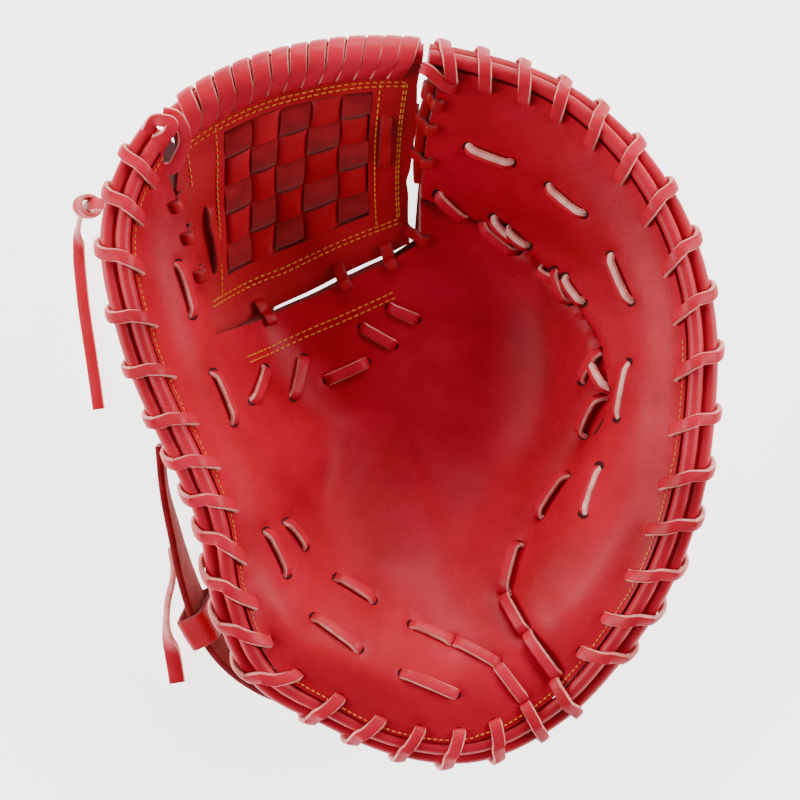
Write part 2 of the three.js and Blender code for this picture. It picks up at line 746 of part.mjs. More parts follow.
function splitCutter() {
  const points = planCurve(palm_split).getPoints(12);
  const sides = points.map((point, i) => {
    const before = points[Math.max(i - 1, 0)];
    const after = points[Math.min(i + 1, points.length - 1)];
    const side = new THREE.Vector3(before.y - after.y, after.x - before.x, 0).normalize();
    return side.multiplyScalar(split_width / 2);
  });
  const outline = [
    ...points.map((point, i) => point.clone().add(sides[i])),
    ...points.map((point, i) => point.clone().sub(sides[i])).reverse(),
  ];
  const shape = new THREE.Shape(outline.map(({ x, y }) => new THREE.Vector2(x, y)));
  return new THREE.ExtrudeGeometry(shape, { depth: 1.5 * mitt_depth, bevelEnabled: false });
}

// Web, from the thumb side (a = 0) to the finger side, and from the top (b = 0) down
function webPoint(a, b, depth = 0) {
  const angle = mix(web_top_start, web_top_end, a);
  const top = rimFrame(angle).face;
  const bottom = planCurve(web_bottom).getPoint(a);
  const down = mix(web_top_drop, 1, b);
  const waist = -4 * down * (1 - down) * a ** 2 * web_waist * mitt_width;
  const { x, y } = top.lerp(bottom, down);
  const { point, normal } = facePoint(x + waist, y);
  const back_off = palm_thickness + web_setback + depth;
  return { point: offset(point, [normal, -back_off]), normal };
}

function webFrame() {
  const columns = [0, web_hem, ...between(...window_sides, 7), 1 - web_hem, 1];
  const rows = [0, window_ends[0] / 2, ...between(...window_ends, 6), 1 - web_hem, 1];
  const grid = columns.map((a) => rows.map((b) => ({
    front: webPoint(a, b).point,
    back: webPoint(a, b, web_leather).point,
  })));
  const inside = ([low, high], value) => value > low - 1e-6 && value < high - 1e-6;
  return panel(grid, (i, j) => inside(window_sides, columns[i]) && inside(window_ends, rows[j]));
}

// One woven strip of the web's window. It lies over and under its neighbours by turns, and its
// ends are tucked behind the frame.
function weave(line, is_slat) {
  const [long, cross] = is_slat ? [window_sides, window_ends] : [window_ends, window_sides];
  const step = (long[1] - long[0]) / weave_count;
  const cross_step = (cross[1] - cross[0]) / weave_count;
  const middle = cross[0] + (line + 0.5) * cross_step;
  const size = webPoint(0, 0.5).point.distanceTo(webPoint(1, 0.5).point);
  const tall = webPoint(0.5, 0).point.distanceTo(webPoint(0.5, 1).point);
  const tuck = weave_tuck / (is_slat ? size : tall);
  const hidden = web_leather + 2 * seat_gap + weave_leather / 2;
  const stops = [[long[0] - tuck, hidden], [long[0], hidden]];
  for (let k = 0; k < weave_count; k += 1) {
    const over = (line + k) % 2 === (is_slat ? 1 : 0);
    const depth = web_leather / 2 + (over ? -weave_lift : weave_lift);
    const flat = between(k + weave_fall, k + 1 - weave_fall, 2);
    stops.push(...flat.map((place) => [long[0] + place * step, depth]));
  }
  stops.push([long[1], hidden], [long[1] + tuck, hidden]);
  const half = (weave_fill * cross_step) / 2;
  const grid = stops.map(([share, depth]) => [middle - half, middle + half].map((side) => {
    const place = (extra) => {
      const [a, b] = is_slat ? [share, side] : [side, share];
      return webPoint(a, b, depth + extra).point;
    };
    return { front: place(-weave_leather / 2), back: place(weave_leather / 2) };
  }));
  if (!is_slat) {
    grid.reverse();
  }
  return panel(grid);
}

// Frame of the binding roll along the web's top edge
function bindingFrame(a) {
  const frame = rimFrame(mix(web_top_start, web_top_end, a));
  const top = webPoint(a, 0, web_leather / 2).point;
  return { ...frame, centre: offset(top, [frame.rise, binding_diameter / 2 + seat_gap]) };
}

function bindingWrap() {
  const stops = [];
  const clear = (binding_diameter / 2 + lift) / Math.cos(radians(lace_turn / 2));
  const pitch = (binding_end - binding_start) / binding_turns;
  const tall = webPoint(0.5, 0).point.distanceTo(webPoint(0.5, 1).point);
  const drop = web_hole_depth / tall;
  for (let k = 0; k < binding_turns; k += 1) {
    const at = (share) => binding_start + (k + share) * pitch;
    const addStop = (point, a) => {
      const { centre, rise } = bindingFrame(a);
      const middle = offset(centre, [rise, -web_hole_depth / 3]);
      stops.push({ point, face: awayFrom(middle, point) });
    };
    const smooth = webPoint(at(0), drop);
    const hole = seated(smooth, web_hide, smooth.normal.clone().negate());
    web_holes.push(laceHole(hole, bindingFrame(at(0)).along, web_leather));
    addStop(offset(hole.point, [hole.normal, -web_leather - lift]), at(0));
    addStop(offset(hole.point, [hole.normal, lift]), at(0));
    const { inward, along } = bindingFrame(at(0));
    const ways = turned(inward, inward.clone().negate(), along);
    ways.forEach((way, i) => {
      const share = mix(wrap_rise, wrap_fall, i / (ways.length - 1));
      addStop(offset(bindingFrame(at(share)).centre, [way, clear]), at(share));
    });
  }
  return band(stops, lace_width, lace_thickness);
}

// A lace that ties the web to the palm's inner edge: up through the web, over the palm's edge,
// down through the palm and behind to the next tie
function webTies(ties) {
  const stops = [];
  const deep = palm_thickness + web_setback + web_leather + lift;
  let last = null;
  for (const { edge, a, b } of ties) {
    const { x, y } = edgePlace(edge);
    const smooth = webPoint(a, b);
    const loop = seated(smooth, web_hide, smooth.normal.clone().negate());
    const inward = new THREE.Vector3(x - loop.point.x, y - loop.point.y, 0).normalize();
    const lip = seated(facePoint(x + 0.3 * inward.x, y + 0.3 * inward.y));
    const slope = inward.dot(lip.normal) / lip.normal.z;
    const inset = edge_hole_inset / Math.hypot(1, slope);
    const hole = seated(facePoint(x + inward.x * inset, y + inward.y * inset));
    const side = new THREE.Vector3().crossVectors(inward, up);
    palm_holes.push(laceHole(hole, side, palm_thickness));
    web_holes.push(laceHole(loop, side, web_leather));
    const outward = inward.clone().negate();
    const past = lift + lace_thickness + tie_slack / 2;
    if (last) {
      const count = Math.max(Math.round(last.distanceTo(loop.point) / tie_span), 1);
      for (const share of between(0, 1, count + 2).slice(1, -1)) {
        const way = last.clone().lerp(loop.point, share);
        const { point, normal } = facePoint(way.x, way.y);
        const under = normal.clone().negate();
        stops.push({ point: offset(point, [under, deep + lace_thickness]), face: under });
      }
    }
    last = hole.point;
    stops.push(
      {
        point: offset(loop.point, [loop.normal, -web_leather - 2 * lift]),
        face: offset(outward, [loop.normal, -0.5]),
      },
      { point: offset(loop.point, [loop.normal, lift]), face: offset(loop.normal, [outward, 1]) },
      {
        point: offset(lip.point, [lip.normal, -palm_thickness / 2], [outward, past]),
        face: offset(lip.normal, [outward, 1]),
      },
      {
        point: offset(lip.point, [lip.normal, lift + tie_slack], [outward, lace_thickness / 2]),
        face: offset(lip.normal, [outward, 0.5]),
      },
      {
        point: offset(hole.point, [hole.normal, lift + tie_slack / 2]),
        face: offset(hole.normal, [inward, 1]),
      },
      {
        point: offset(hole.point, [hole.normal, -palm_thickness - 2 * lift]),
        face: offset(inward, [hole.normal, -0.5]),
      },
    );
  }
  return band(stops, lace_width, lace_thickness);
}

// The lace that draws the split together, from the crotch round towards the heel
function splitLace() {
  const curve = planCurve(palm_split);
  const place = (share, side) => {
    const { x, y } = curve.getPointAt(share);
    const along = curve.getTangentAt(share);
    const reach = side * split_stitch_reach;
    return seated(facePoint(x + along.y * reach, y - along.x * reach));
  };
  const stops = [];
  const under = palm_thickness + lift + lace_thickness / 2;
  let last = null;
  for (const { near, far } of split_stitches) {
    const start = place(near, 1);
    const end = place(far, -1);
    if (last) {
      const middle = last.clone().lerp(start.point, 0.5);
      const { point, normal } = facePoint(middle.x, middle.y);
      const below = normal.clone().negate();
      stops.push({ point: offset(point, [below, under + lace_thickness]), face: below });
    }
    last = end.point;
    const way = new THREE.Vector3().subVectors(end.point, start.point).normalize();
    const back = way.clone().negate();
    const side = new THREE.Vector3().crossVectors(way, up);
    const top = seated(facePoint(
      (start.point.x + end.point.x) / 2,
      (start.point.y + end.point.y) / 2,
    ));
    palm_holes.push(laceHole(start, side, palm_thickness), laceHole(end, side, palm_thickness));
    stops.push(
      { point: offset(start.point, [start.normal, -under]), face: back },
      { point: offset(start.point, [start.normal, lift]), face: offset(back, [start.normal, 1]) },
      { point: offset(top.point, [top.normal, lift + lace_thickness / 2]), face: top.normal },
      { point: offset(end.point, [end.normal, lift]), face: offset(way, [end.normal, 1]) },
      { point: offset(end.point, [end.normal, -under]), face: way },
    );
  }
  return band(stops, lace_width, lace_thickness);
}

function routePoints(route) {
  return route.map(({ x, y, z }) => new THREE.Vector3(
    x * mitt_width,
    y * mitt_length,
    z * mitt_depth,
  ));
}

// A loose end of flat lace. It hangs with its face outwards and lies flat on the floor.
function looseLace(route, width, thickness, face) {
  const points = routePoints(route);
  const outward = new THREE.Vector3(face.x, face.y, face.z).normalize();
  const stops = points.map((point) => {
    const lying = 1 - Math.min(point.z / (3 * width), 1);
    return { point, face: offset(new THREE.Vector3(), [outward, 1 - lying], [up, lying + 0.05]) };
  });
  return band(stops, width, thickness);
}

// A ring of lace drawn round a place on a route, square to it
function knotRing(route, share, width, thickness) {
  const points = routePoints(route);
  const at = Math.round(share * (points.length - 1));
  const along = points[at + 1].clone().sub(points[at - 1]).normalize();
  const inner = Math.hypot(width, thickness) / 2 + seat_gap;
  const outer = knot_diameter / 2;
  const profile = new THREE.Path();
  profile.absarc((inner + outer) / 2, 0, (outer - inner) / 2, 0, 2 * Math.PI);
  const section = profile.getPoints(4).map(({ x, y }) => new THREE.Vector2(x, 1.4 * y));
  const ring = new THREE.LatheGeometry(section, 14);
  ring.applyQuaternion(new THREE.Quaternion().setFromUnitVectors(new THREE.Vector3(0, 1, 0), along));
  ring.translate(...points[at].toArray());
  return ring;
}

// A loop of leather round the wrist strap
function strapKeeper() {
  const stops = strapStops();
  const at = Math.round(keeper_share * (stops.length - 1));
  const along = stops[at + 1].point.clone().sub(stops[at - 1].point).normalize();
  const { point, face } = stops[at];
  const outward = face.clone().addScaledVector(along, -face.dot(along)).normalize();
  const side = new THREE.Vector3().crossVectors(outward, along);
  const frame = (wide, thick) => [
    new THREE.Vector2(-wide / 2, -thick / 2),
    new THREE.Vector2(wide / 2, -thick / 2),
    new THREE.Vector2(wide / 2, thick / 2),
    new THREE.Vector2(-wide / 2, thick / 2),
  ];
  const shape = new THREE.Shape(frame(
    strap_width + 2 * (keeper_side_room + keeper_wall),
    strap_thickness + 2 * (keeper_room + keeper_wall),
  ));
  shape.holes.push(new THREE.Path(
    frame(strap_width + 2 * keeper_side_room, strap_thickness + 2 * keeper_room).reverse(),
  ));
  const loop = new THREE.ExtrudeGeometry(shape, { depth: keeper_length, bevelEnabled: false });
  loop.translate(0, 0, -keeper_length / 2);
  loop.applyMatrix4(new THREE.Matrix4().makeBasis(side, outward, along));
  loop.translate(...point.toArray());
  return loop;
}

function backPanel(from, to, stations) {
  const grid = between(from, to, stations).map((angle) => back_rows.map((share) => {
    const { point, normal } = backPoint(angle, share);
    return { front: point, back: offset(point, [normal, -back_leather]) };
  }));
  return panel(grid);
}

function weltTube(which) {
  const angles = between(thumb_tip, finger_tip, welt_stations);
  return tube(angles.map((angle) => rimFrame(angle)[which]), welt_diameter, welt_stations - 1, 3);
}

function strapStops() {
  return strap_route.map(({ x, y, z, tilt }, i) => {
    const place = (row) => new THREE.Vector3(
      row.x * mitt_width,
      row.y * mitt_length,
      row.z * mitt_depth,
    );
    const before = place(strap_route[Math.max(i - 1, 0)]);
    const after = place(strap_route[Math.min(i + 1, strap_route.length - 1)]);
    const along = after.sub(before).normalize();
    const side = new THREE.Vector3().crossVectors(along, up).normalize();
    const turn = radians(tilt);
    const face = side.multiplyScalar(-Math.cos(turn)).addScaledVector(up, Math.sin(turn));
    return { point: place({ x, y, z }), face };
  });
}

const rim_laces = Object.fromEntries(rim_runs.map((run) => [run.name, rimLace(run)]));
const wrap = bindingWrap();
const web_laces = {
  web_lace_finger_side: webTies(finger_side_ties),
  web_lace_thumb_side: webTies(thumb_side_ties),
  web_lace_crotch: webTies(crotch_ties),
  split_lace: splitLace(),
};

add('palm_shell', cutAway(palm_leather.geometry, [splitCutter(), ...palm_holes]), red);
add('thumb_back', cutAway(thumb_leather.geometry, back_holes), red);
add('finger_back', cutAway(finger_leather.geometry, back_holes), red);
add('palm_welt', weltTube('palm_welt'), red);
add('back_welt', weltTube('back_welt'), red);
for (const [name, geometry] of Object.entries({ ...rim_laces, ...web_laces })) {
  add(name, geometry, lace_red);
}
add('web_frame', cutAway(web_hide.geometry, web_holes), dark_red);
for (let line = 0; line < weave_count; line += 1) {
  add(`web_slat_${line + 1}`, weave(line, true), dark_red);
  add(`web_strip_${line + 1}`, weave(line, false), pale_hide);
}
const binding_line = between(0, 1, binding_stations).map((a) => bindingFrame(a).centre);
add('web_binding', tube(binding_line, binding_diameter, binding_stations - 1, 4), dark_red);
add('web_wrap', wrap, lace_red);
add('wrist_strap', band(strapStops(), strap_width, strap_thickness), red);
add('strap_keeper', strapKeeper(), red);
const thumb_tail = looseLace(thumb_tail_route, lace_width, lace_thickness, thumb_tail_face);
add('thumb_lace_tail', thumb_tail, lace_red);
add('thumb_knot', knotRing(thumb_tail_route, knot_share, lace_width, lace_thickness), lace_red);
const tongue = looseLace(adjuster_route, adjuster_width, adjuster_thickness, adjuster_face);
add('adjuster_tail', tongue, lace_red);

// The mitt rests on its back, centred over the origin
const loose_ends = ['thumb_lace_tail', 'thumb_knot', 'adjuster_tail'];
const resting = new THREE.Box3();
for (const mesh of group.children) {
  if (!loose_ends.includes(mesh.name)) {
    resting.expandByObject(mesh);
  }
}
const centre = resting.getCenter(new THREE.Vector3());
for (const { geometry } of group.children) {
  geometry.translate(-centre.x, -centre.y, -resting.min.z);
}

export default group;
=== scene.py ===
import math
import random

import bmesh
import bpy
import numpy as np
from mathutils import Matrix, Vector


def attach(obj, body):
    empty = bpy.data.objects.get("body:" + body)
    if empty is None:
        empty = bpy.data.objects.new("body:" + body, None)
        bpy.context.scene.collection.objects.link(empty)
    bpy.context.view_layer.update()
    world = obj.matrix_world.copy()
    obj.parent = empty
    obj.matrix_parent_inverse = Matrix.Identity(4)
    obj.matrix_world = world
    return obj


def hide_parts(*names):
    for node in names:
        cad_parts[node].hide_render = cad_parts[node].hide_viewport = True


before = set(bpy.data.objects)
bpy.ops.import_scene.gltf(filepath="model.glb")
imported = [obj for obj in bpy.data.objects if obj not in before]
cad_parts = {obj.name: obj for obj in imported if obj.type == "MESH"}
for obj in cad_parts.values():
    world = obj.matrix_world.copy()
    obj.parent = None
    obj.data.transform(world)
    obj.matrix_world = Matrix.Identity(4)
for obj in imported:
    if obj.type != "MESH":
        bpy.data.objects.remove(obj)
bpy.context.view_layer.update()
random.seed(11)

# Sizes in millimetres, as in the CAD source, apart from the lace's width, how far in the palm's
# holes are and how high a lace lies, which are finer here, and those that only this file has
mm = 0.001
mitt_length = 308.0
mitt_width = 260.0
mitt_depth = 118.0
pocket_floor = 33.0
palm_thickness = 5.0
back_leather = 2.8
web_leather = 3.2
weave_leather = 1.6
weave_lift = 1.3
welt_diameter = 6.4
welt_overhang = 0.875 * welt_diameter
binding_diameter = 9.0
lace_width = 5.7
lace_thickness = 2.0
palm_hole_depth = 5.0
back_hole_depth = 10.0
web_hole_depth = 6.5
stall_bulge = 6.0
stall_count = 4
web_setback = 2.0
edge_hole_inset = 2.6
tie_reach = 4.6
strap_width = 26.0
strap_thickness = 3.0
keeper_wall = 2.2
keeper_length = 15.0
keeper_room = 3.2
keeper_side_room = 1.4
tongue_width = 7.5
tongue_thickness = 2.4
seat_gap = 0.4
# How high a lace's middle is over the leather, and how far loops stand off what they go round
lift = lace_thickness / 2 + 0.35
welt_clearance = 0.25
binding_clearance = 0.2
# How much narrower or wider than the rim's lace the other laces are
short_lace_less = 0.5
web_lace_less = 0.6
gap_lace_less = 1.0
binding_lace_more = 1.7

# Rim angles in degrees, from +X round by the finger tips, thumb and heel
thumb_tip = 135.0
finger_tip = 444.5
thumb_back_end = 240.0
finger_back_start = 303.0
web_top = (132.5, 85.5)

# The pocket's centre in the row frame, and the photo's view: the camera looks straight down
pocket_centre = Vector((-4.107, -0.53, 0.0))
view_height = 1500.0
view_width = 336.0
view_centre = Vector((0.0, 4.2, 110.0))
camera_sensor = 36.0

# The bowl every 15 degrees from +X: rim distance, rim height, where the wall starts and how high
# it is there, where it is nearly up and how high, the rim's slope, and the back welt's drop
bowl_columns = ("reach", "rim", "foot", "low", "crest", "high", "lean", "tuck")
bowl_rows = (
    (0.478, 0.97, 0.5, 0.35, 0.86, 0.82, 58, 22),
    (0.495, 0.97, 0.51, 0.35, 0.86, 0.82, 58, 24),
    (0.505, 0.96, 0.52, 0.35, 0.86, 0.81, 56, 30),
    (0.507, 0.95, 0.52, 0.36, 0.86, 0.8, 54, 42),
    (0.502, 0.94, 0.5, 0.36, 0.85, 0.78, 50, 58),
    (0.489, 0.94, 0.5, 0.37, 0.85, 0.79, 48, 62),
    (0.488, 0.96, 0.45, 0.37, 0.83, 0.79, 50, 60),
    (0.501, 0.98, 0.42, 0.36, 0.81, 0.79, 52, 40),
    (0.522, 0.99, 0.42, 0.36, 0.8, 0.78, 54, 25),
    (0.538, 1.0, 0.5, 0.37, 0.81, 0.79, 58, 20),
    (0.516, 1.0, 0.52, 0.34, 0.8, 0.77, 64, 18),
    (0.439, 0.98, 0.5, 0.33, 0.79, 0.75, 67, 16),
    (0.375, 0.96, 0.46, 0.32, 0.79, 0.74, 67, 16),
    (0.339, 0.93, 0.43, 0.33, 0.8, 0.74, 65, 18),
    (0.338, 0.88, 0.43, 0.34, 0.82, 0.73, 60, 22),
    (0.383, 0.8, 0.46, 0.37, 0.84, 0.71, 40, 30),
    (0.432, 0.7, 0.49, 0.41, 0.84, 0.71, 5, 42),
    (0.446, 0.65, 0.49, 0.41, 0.82, 0.71, -20, 50),
    (0.474, 0.62, 0.47, 0.4, 0.8, 0.69, -25, 52),
    (0.498, 0.6, 0.42, 0.37, 0.8, 0.64, -20, 50),
    (0.496, 0.6, 0.38, 0.35, 0.8, 0.61, -5, 45),
    (0.482, 0.72, 0.4, 0.34, 0.82, 0.7, 10, 38),
    (0.475, 0.86, 0.45, 0.34, 0.83, 0.79, 30, 28),
    (0.473, 0.94, 0.48, 0.34, 0.86, 0.82, 48, 22),
)
bowl = {name: np.array(column, float) for name, column in zip(bowl_columns, zip(*bowl_rows))}

# The palm's inner edge: rim angle, and place in shares of the width and length
palm_edge = np.array((
    (135, -0.388, 0.357), (143, -0.366, 0.297), (153, -0.335, 0.219), (161, -0.319, 0.165),
    (168, -0.304, 0.105), (190, -0.243, 0.125), (215, -0.138, 0.164), (240, -0.093, 0.071),
    (262, -0.042, -0.029), (290, -0.008, -0.1), (320, -0.042, -0.029), (345, -0.093, 0.071),
    (375, -0.138, 0.164), (405, -0.051, 0.199), (422, 0.035, 0.225), (430, 0.035, 0.31),
    (438, 0.046, 0.389), (444.5, 0.065, 0.447),
))
spine_first, spine_last = 6, 12
# The palm's mesh: steps along the edge in mm, how many places from the edge out to the rim, and
# the share beside the rim where the relief fades out
palm_grid = 1.75
palm_steps = 74
rim_fade = 0.06

# Where the palm is split, how the split fades out, and the soft valley that runs on from it to
# the heel, in mm from the pocket's centre
palm_split = (
    (5.2, 92.4), (34.8, 79.8), (56.4, 66.8), (71.5, 51.1), (83.2, 32.6), (88.1, 17.2), (87.6, 4.3),
)
split_tail = ((86, -4), (81, -13))
pad_valley = (
    (87.6, 4.3), (80, -11), (69.6, -28), (58.7, -46), (47.8, -65), (44.7, -80), (51.7, -95),
    (62, -107), (69, -120),
)

# The palm's relief, in mm: each height or depth, and how far it spreads
split_lip, split_lip_spread = (1.7, -0.6), 6.0
split_lip_start = 1.2
split_depth, split_spread = 3.4, 1.3
valley_depth, valley_spread = 2.4, 5.0
pad_swell, pad_spread = (1.6, 0.4), 8.0
pad_middle = 13.0
pucker_depth, pucker_spread = 0.9, 2.6
slack_height = 0.25
# Width and thickness in mm of the dark strip of painted shade in the split's groove
shade_strip_width, shade_strip_thickness = 1.5, 0.6
# Radius in mm and sides of the flat dark discs of painted shade that stand for the laces' holes
hole_shade_radius = 1.9
hole_shade_sides = 14

# Web outline and window in shares of its width and height
web_bottom = ((-0.308, 0.098), (-0.25, 0.122), (-0.19, 0.146), (-0.065, 0.195), (0.022, 0.226))
web_waist = 0.014
window_sides = (0.19, 0.81)
window_ends = (0.131, 0.775)
web_top_drop = 0.045
# How far the web runs on behind the palm at the thumb and at the fingers, in shares of its width
web_hidden_edge = (0.11, 0.045)
weave_count = 5
binding_turns = 13
binding_lace_ends = (0.045, 0.965)

back_profile = ((1.01, 0.62), (0.94, 0.27), (0.86, 0.06), (0.76, 0.0), (0.52, 0.0))

# Each rim loop's rim angle at its hole in the palm and where it goes in at the back
thumb_loops = (
    (236.2, 224.5), (228.3, 216), (218.7, 206.5), (206.1, 196), (194.1, 186.5), (182.6, 178),
    (172.5, 169), (163.4, 160.5), (155.5, 152), (148.2, 145), (142, 139.6),
)
heel_loops = (
    (304, 301), (296.7, 295.5), (289.8, 286.5), (282.3, 277), (274.2, 268.5), (265.6, 259),
    (256, 249.5), (245.2, 233),
)
finger_loops = (
    (311.7, 318), (319.6, 327), (328.8, 335.5), (337.9, 344), (346.5, 352.3), (356.3, 361),
    (365.9, 371.3), (375.4, 380.2), (383.7, 388.8), (393, 397),
)
tip_loops = ((401.5, 405.5), (409.6, 413.5), (417.6, 420.5), (424.6, 427.8), (432.5, 435.5), (439.4, 443))

# Laces between the palm's inner edge and the web: place along the edge, and place on the web
finger_side_ties = (
    (16.55, 0.955, 0.162), (16, 0.955, 0.34), (15.45, 0.955, 0.55), (14.2, 0.955, 0.948),
)
thumb_side_ties = ((1.2, 0.12, 0.372), (1.75, 0.128, 0.55), (2.6, 0.13, 0.738))
crotch_ties = ((5.2, 0.365, 0.906), (12.5, 0.655, 0.906), (13.4, 0.86, 0.906))

# Laces knotted at the web's top corners and along its gap, in mm with their height over the leather
tip_loop = (
    (-99.7, 124.3, 4), (-95.1, 123.5, 4.6), (-91.8, 119.3, 4.4), (-90.9, 112.2, 3.2), (-93, 106.4, 2.2),
    (-96, 101.8, 1.5), (-99.7, 100.5, -1.5),
)
tip_crossing = (
    (-106, 116.4, 2.5), (-103.9, 121.4, 5), (-100.1, 121.8, 6.8), (-96.8, 120.6, 7), (-97.6, 116.8, 5.5),
    (-98.9, 114.7, 3.5), (-101.8, 112.2, 0),
)
finger_corner = (
    (9, 144, 1), (12, 143, 3), (15, 140.5, 3), (19, 137.5, 2), (22.5, 135.8, 0.8), (23.6, 135.2, -2),
)
gap_lace = (
    (13, 137, -5), (12, 131, -4.6), (10, 124, -4.8), (8.5, 112, -5), (8, 104, -4.7), (8.4, 97, -5.2),
)
# Laces on the web itself: across and down it in shares, and height over the web in mm
web_bar = (
    (0.885, 0.27, -2.4), (0.885, 0.285, 0), (0.885, 0.32, 1.3), (0.885, 0.42, 1.4),
    (0.885, 0.5, 1.2), (0.885, 0.535, 0), (0.885, 0.55, -2.4),
)
web_side_loop = (
    (0.115, 0.43, -2.4), (0.115, 0.445, 0.4), (0.11, 0.5, 2), (0.118, 0.58, 2.4),
    (0.125, 0.66, 2), (0.13, 0.715, 0.4), (0.13, 0.73, -2.4),
)
# Seams sewn on the web: first and last place, across and down it
web_seams = (
    (0.02, 0.086, 0.955, 0.086), (0.03, 0.106, 0.955, 0.106), (0.1, 0.845, 0.955, 0.845),
    (0.1, 0.867, 0.955, 0.867), (0.155, 0.09, 0.155, 0.84), (0.84, 0.09, 0.84, 0.84),
    (0.03, 0.09, 0.03, 0.28), (0.945, 0.09, 0.945, 0.84), (0.957, 0.09, 0.957, 0.84),
)

# Loose laces: routes in shares of the mitt's width, length and depth
thumb_tail_route = (
    (-0.451, 0.286, 0.8), (-0.4455, 0.2865, 0.745), (-0.4405, 0.287, 0.69), (-0.442, 0.2875, 0.64),
    (-0.4545, 0.288, 0.595), (-0.474, 0.289, 0.555), (-0.496, 0.29, 0.515), (-0.512, 0.29, 0.465),
    (-0.524, 0.289, 0.405), (-0.533, 0.287, 0.34), (-0.54, 0.283, 0.27), (-0.546, 0.277, 0.2),
    (-0.551, 0.268, 0.13), (-0.555, 0.255, 0.07), (-0.556, 0.238, 0.03), (-0.556, 0.217, 0.014),
    (-0.553, 0.19, 0.014), (-0.548, 0.15, 0.014), (-0.541, 0.11, 0.014), (-0.533, 0.065, 0.014),
    (-0.522, 0.0, 0.014),
)
thumb_tail_face = (-1, 0.17, -0.2)
# The ring round the thumb's lace: which point of the route it is at, its size in mm, and each
# turn's tilt, shift along the lace and size
knot_place = 8
knot_reach = (5.0, 4.0)
knot_width, knot_thickness = 4.6, 1.8
knot_turns = ((0.25, -1.6, 1.0), (-0.3, 1.6, 1.06), (0.0, 0.0, 0.9))
tongue_route = (
    (-0.3882, -0.1997, 0.314), (-0.3853, -0.2156, 0.303), (-0.3842, -0.2305, 0.292),
    (-0.3869, -0.2477, 0.275), (-0.3931, -0.2662, 0.254), (-0.3973, -0.2857, 0.223),
    (-0.3992, -0.3039, 0.18), (-0.3992, -0.3208, 0.127), (-0.3973, -0.337, 0.07),
    (-0.3946, -0.354, 0.03), (-0.391, -0.373, 0.015), (-0.386, -0.4, 0.015),
)
tongue_face = (-0.98, -0.18, -0.06)
strap_route = (
    (-0.405, -0.05, 0.36, 0), (-0.398, -0.114, 0.35, 0), (-0.383, -0.171, 0.33, 4),
    (-0.364, -0.236, 0.29, 10), (-0.335, -0.3, 0.25, 18), (-0.285, -0.352, 0.2, 32),
    (-0.21, -0.386, 0.14, 52), (-0.12, -0.395, 0.085, 72), (-0.02, -0.38, 0.055, 85),
    (0.08, -0.34, 0.045, 90), (0.15, -0.29, 0.043, 90), (0.2, -0.24, 0.043, 90),
)

# Which point of the strap's route the keeper is at, and how round its corners are
keeper_place = 4
keeper_roundness = 0.32

# Short laces that show on the palm: where each comes up and goes down, in mm, and how it lies:
# flat, rolled so that a cut edge shows, or with half of its flesh side out
palm_stitches = (
    (28.6, 112, 47.6, 105, "flesh"), (62.9, 95.5, 78.2, 82.9, "flesh"), (88.9, 65.8, 97.6, 45.6, "flesh"),
    (97.4, 20.5, 93, -3.9, "flesh"), (86.3, -24.1, 78.9, -45, "flesh"), (70.9, -27.8, 59.2, -45.2, "flat"),
    (50.4, -57.8, 44.7, -78.1, "flat"), (44.7, -80.2, 53.4, -95.2, "flat"),
    (54.3, -96, 67.9, -114.7, "flat"), (4.8, -92.6, 22.5, -99.8, "flat"),
    (23.8, -99.8, 42.2, -109, "flat"), (41.8, -109.8, 53.8, -125.3, "flat"),
    (0.9, -112.6, 24.5, -122.3, "flat"), (-36.9, -88.4, -17.1, -102.4, "flat"),
    (-27.4, -72.5, -11.3, -82.5, "flat"), (-56.9, -51.7, -48.1, -70.9, "rolled"),
    (-48.7, -48.3, -40.7, -59.4, "rolled"), (-79.3, 16.2, -70.3, -5.5, "rolled"),
    (-93.7, 62.3, -88, 40, "rolled"), (-58.7, 18.4, -63.1, 3.9, "flat"), (-42.4, 23, -46.6, 5.3, "flat"),
    (-14.6, 20.8, -32.3, 12.8, "flat"), (-16.8, 36.2, -2.6, 28.2, "flat"),
    (-4.8, 44.9, 7.5, 39.7, "flat"),
)
# The lace that draws the split together, twisted as it goes
split_stitches = (
    (15.6, 93.6, 28.8, 82.9, "flat"), (35.3, 81.1, 50.7, 68.6, "flat"), (40.1, 83.5, 49.8, 74.2, "flesh"),
    (46.2, 79.2, 56.1, 71.2, "flesh"), (60.7, 61.1, 68, 56.9, "flat"), (67, 60.9, 72.7, 46.6, "flat"),
    (71.5, 57.8, 79.5, 46.1, "flesh"), (85.9, 25.5, 78.7, 12.2, "flat"), (82.9, 21.3, 89.1, 8.8, "flesh"),
    (85.1, 5.6, 77.7, -10.9, "flat"),
)
# Rim angles between which the sewing beside the welt shows, how far in from the rim it is, and
# the double seam below the web with half the space between its rows, in mm
rim_seams = ((138, 236), (244, 372))
rim_seam_inset = 1.6
palm_seam = ((-66, 21.7), (-45, 31.8), (-22, 41.6), (-2.2, 50.6))
palm_seam_half = 1.3


# Shape of the mitt, worked out as in the CAD source, on arrays of angles and places
straight_up = np.array([0.0, 0.0, 1.0])


def around(column, angle):
    values = bowl[column]
    count = len(values)
    turn = np.mod(angle, 360.0) / (360.0 / count)
    i = np.floor(turn).astype(int)
    t = turn - i
    a, b, c, d = (values[(i + k) % count] for k in (-1, 0, 1, 2))
    return b + 0.5 * t * (c - a + t * (2 * a - 5 * b + 4 * c - d + t * (3 * (b - c) + d - a)))


def spoke(angle):
    x = np.cos(np.radians(angle)) * mitt_width
    y = np.sin(np.radians(angle)) * mitt_length
    long = np.hypot(x, y)
    reach = around("reach", angle) * long - welt_overhang
    return x / long, y / long, reach


def hermite(z0, z1, slope0, slope1, width, t):
    a = 2 * t**3 - 3 * t**2 + 1
    b = t**3 - 2 * t**2 + t
    c = t**3 - t**2
    return a * z0 + b * width * slope0 + (1 - a) * z1 + c * width * slope1


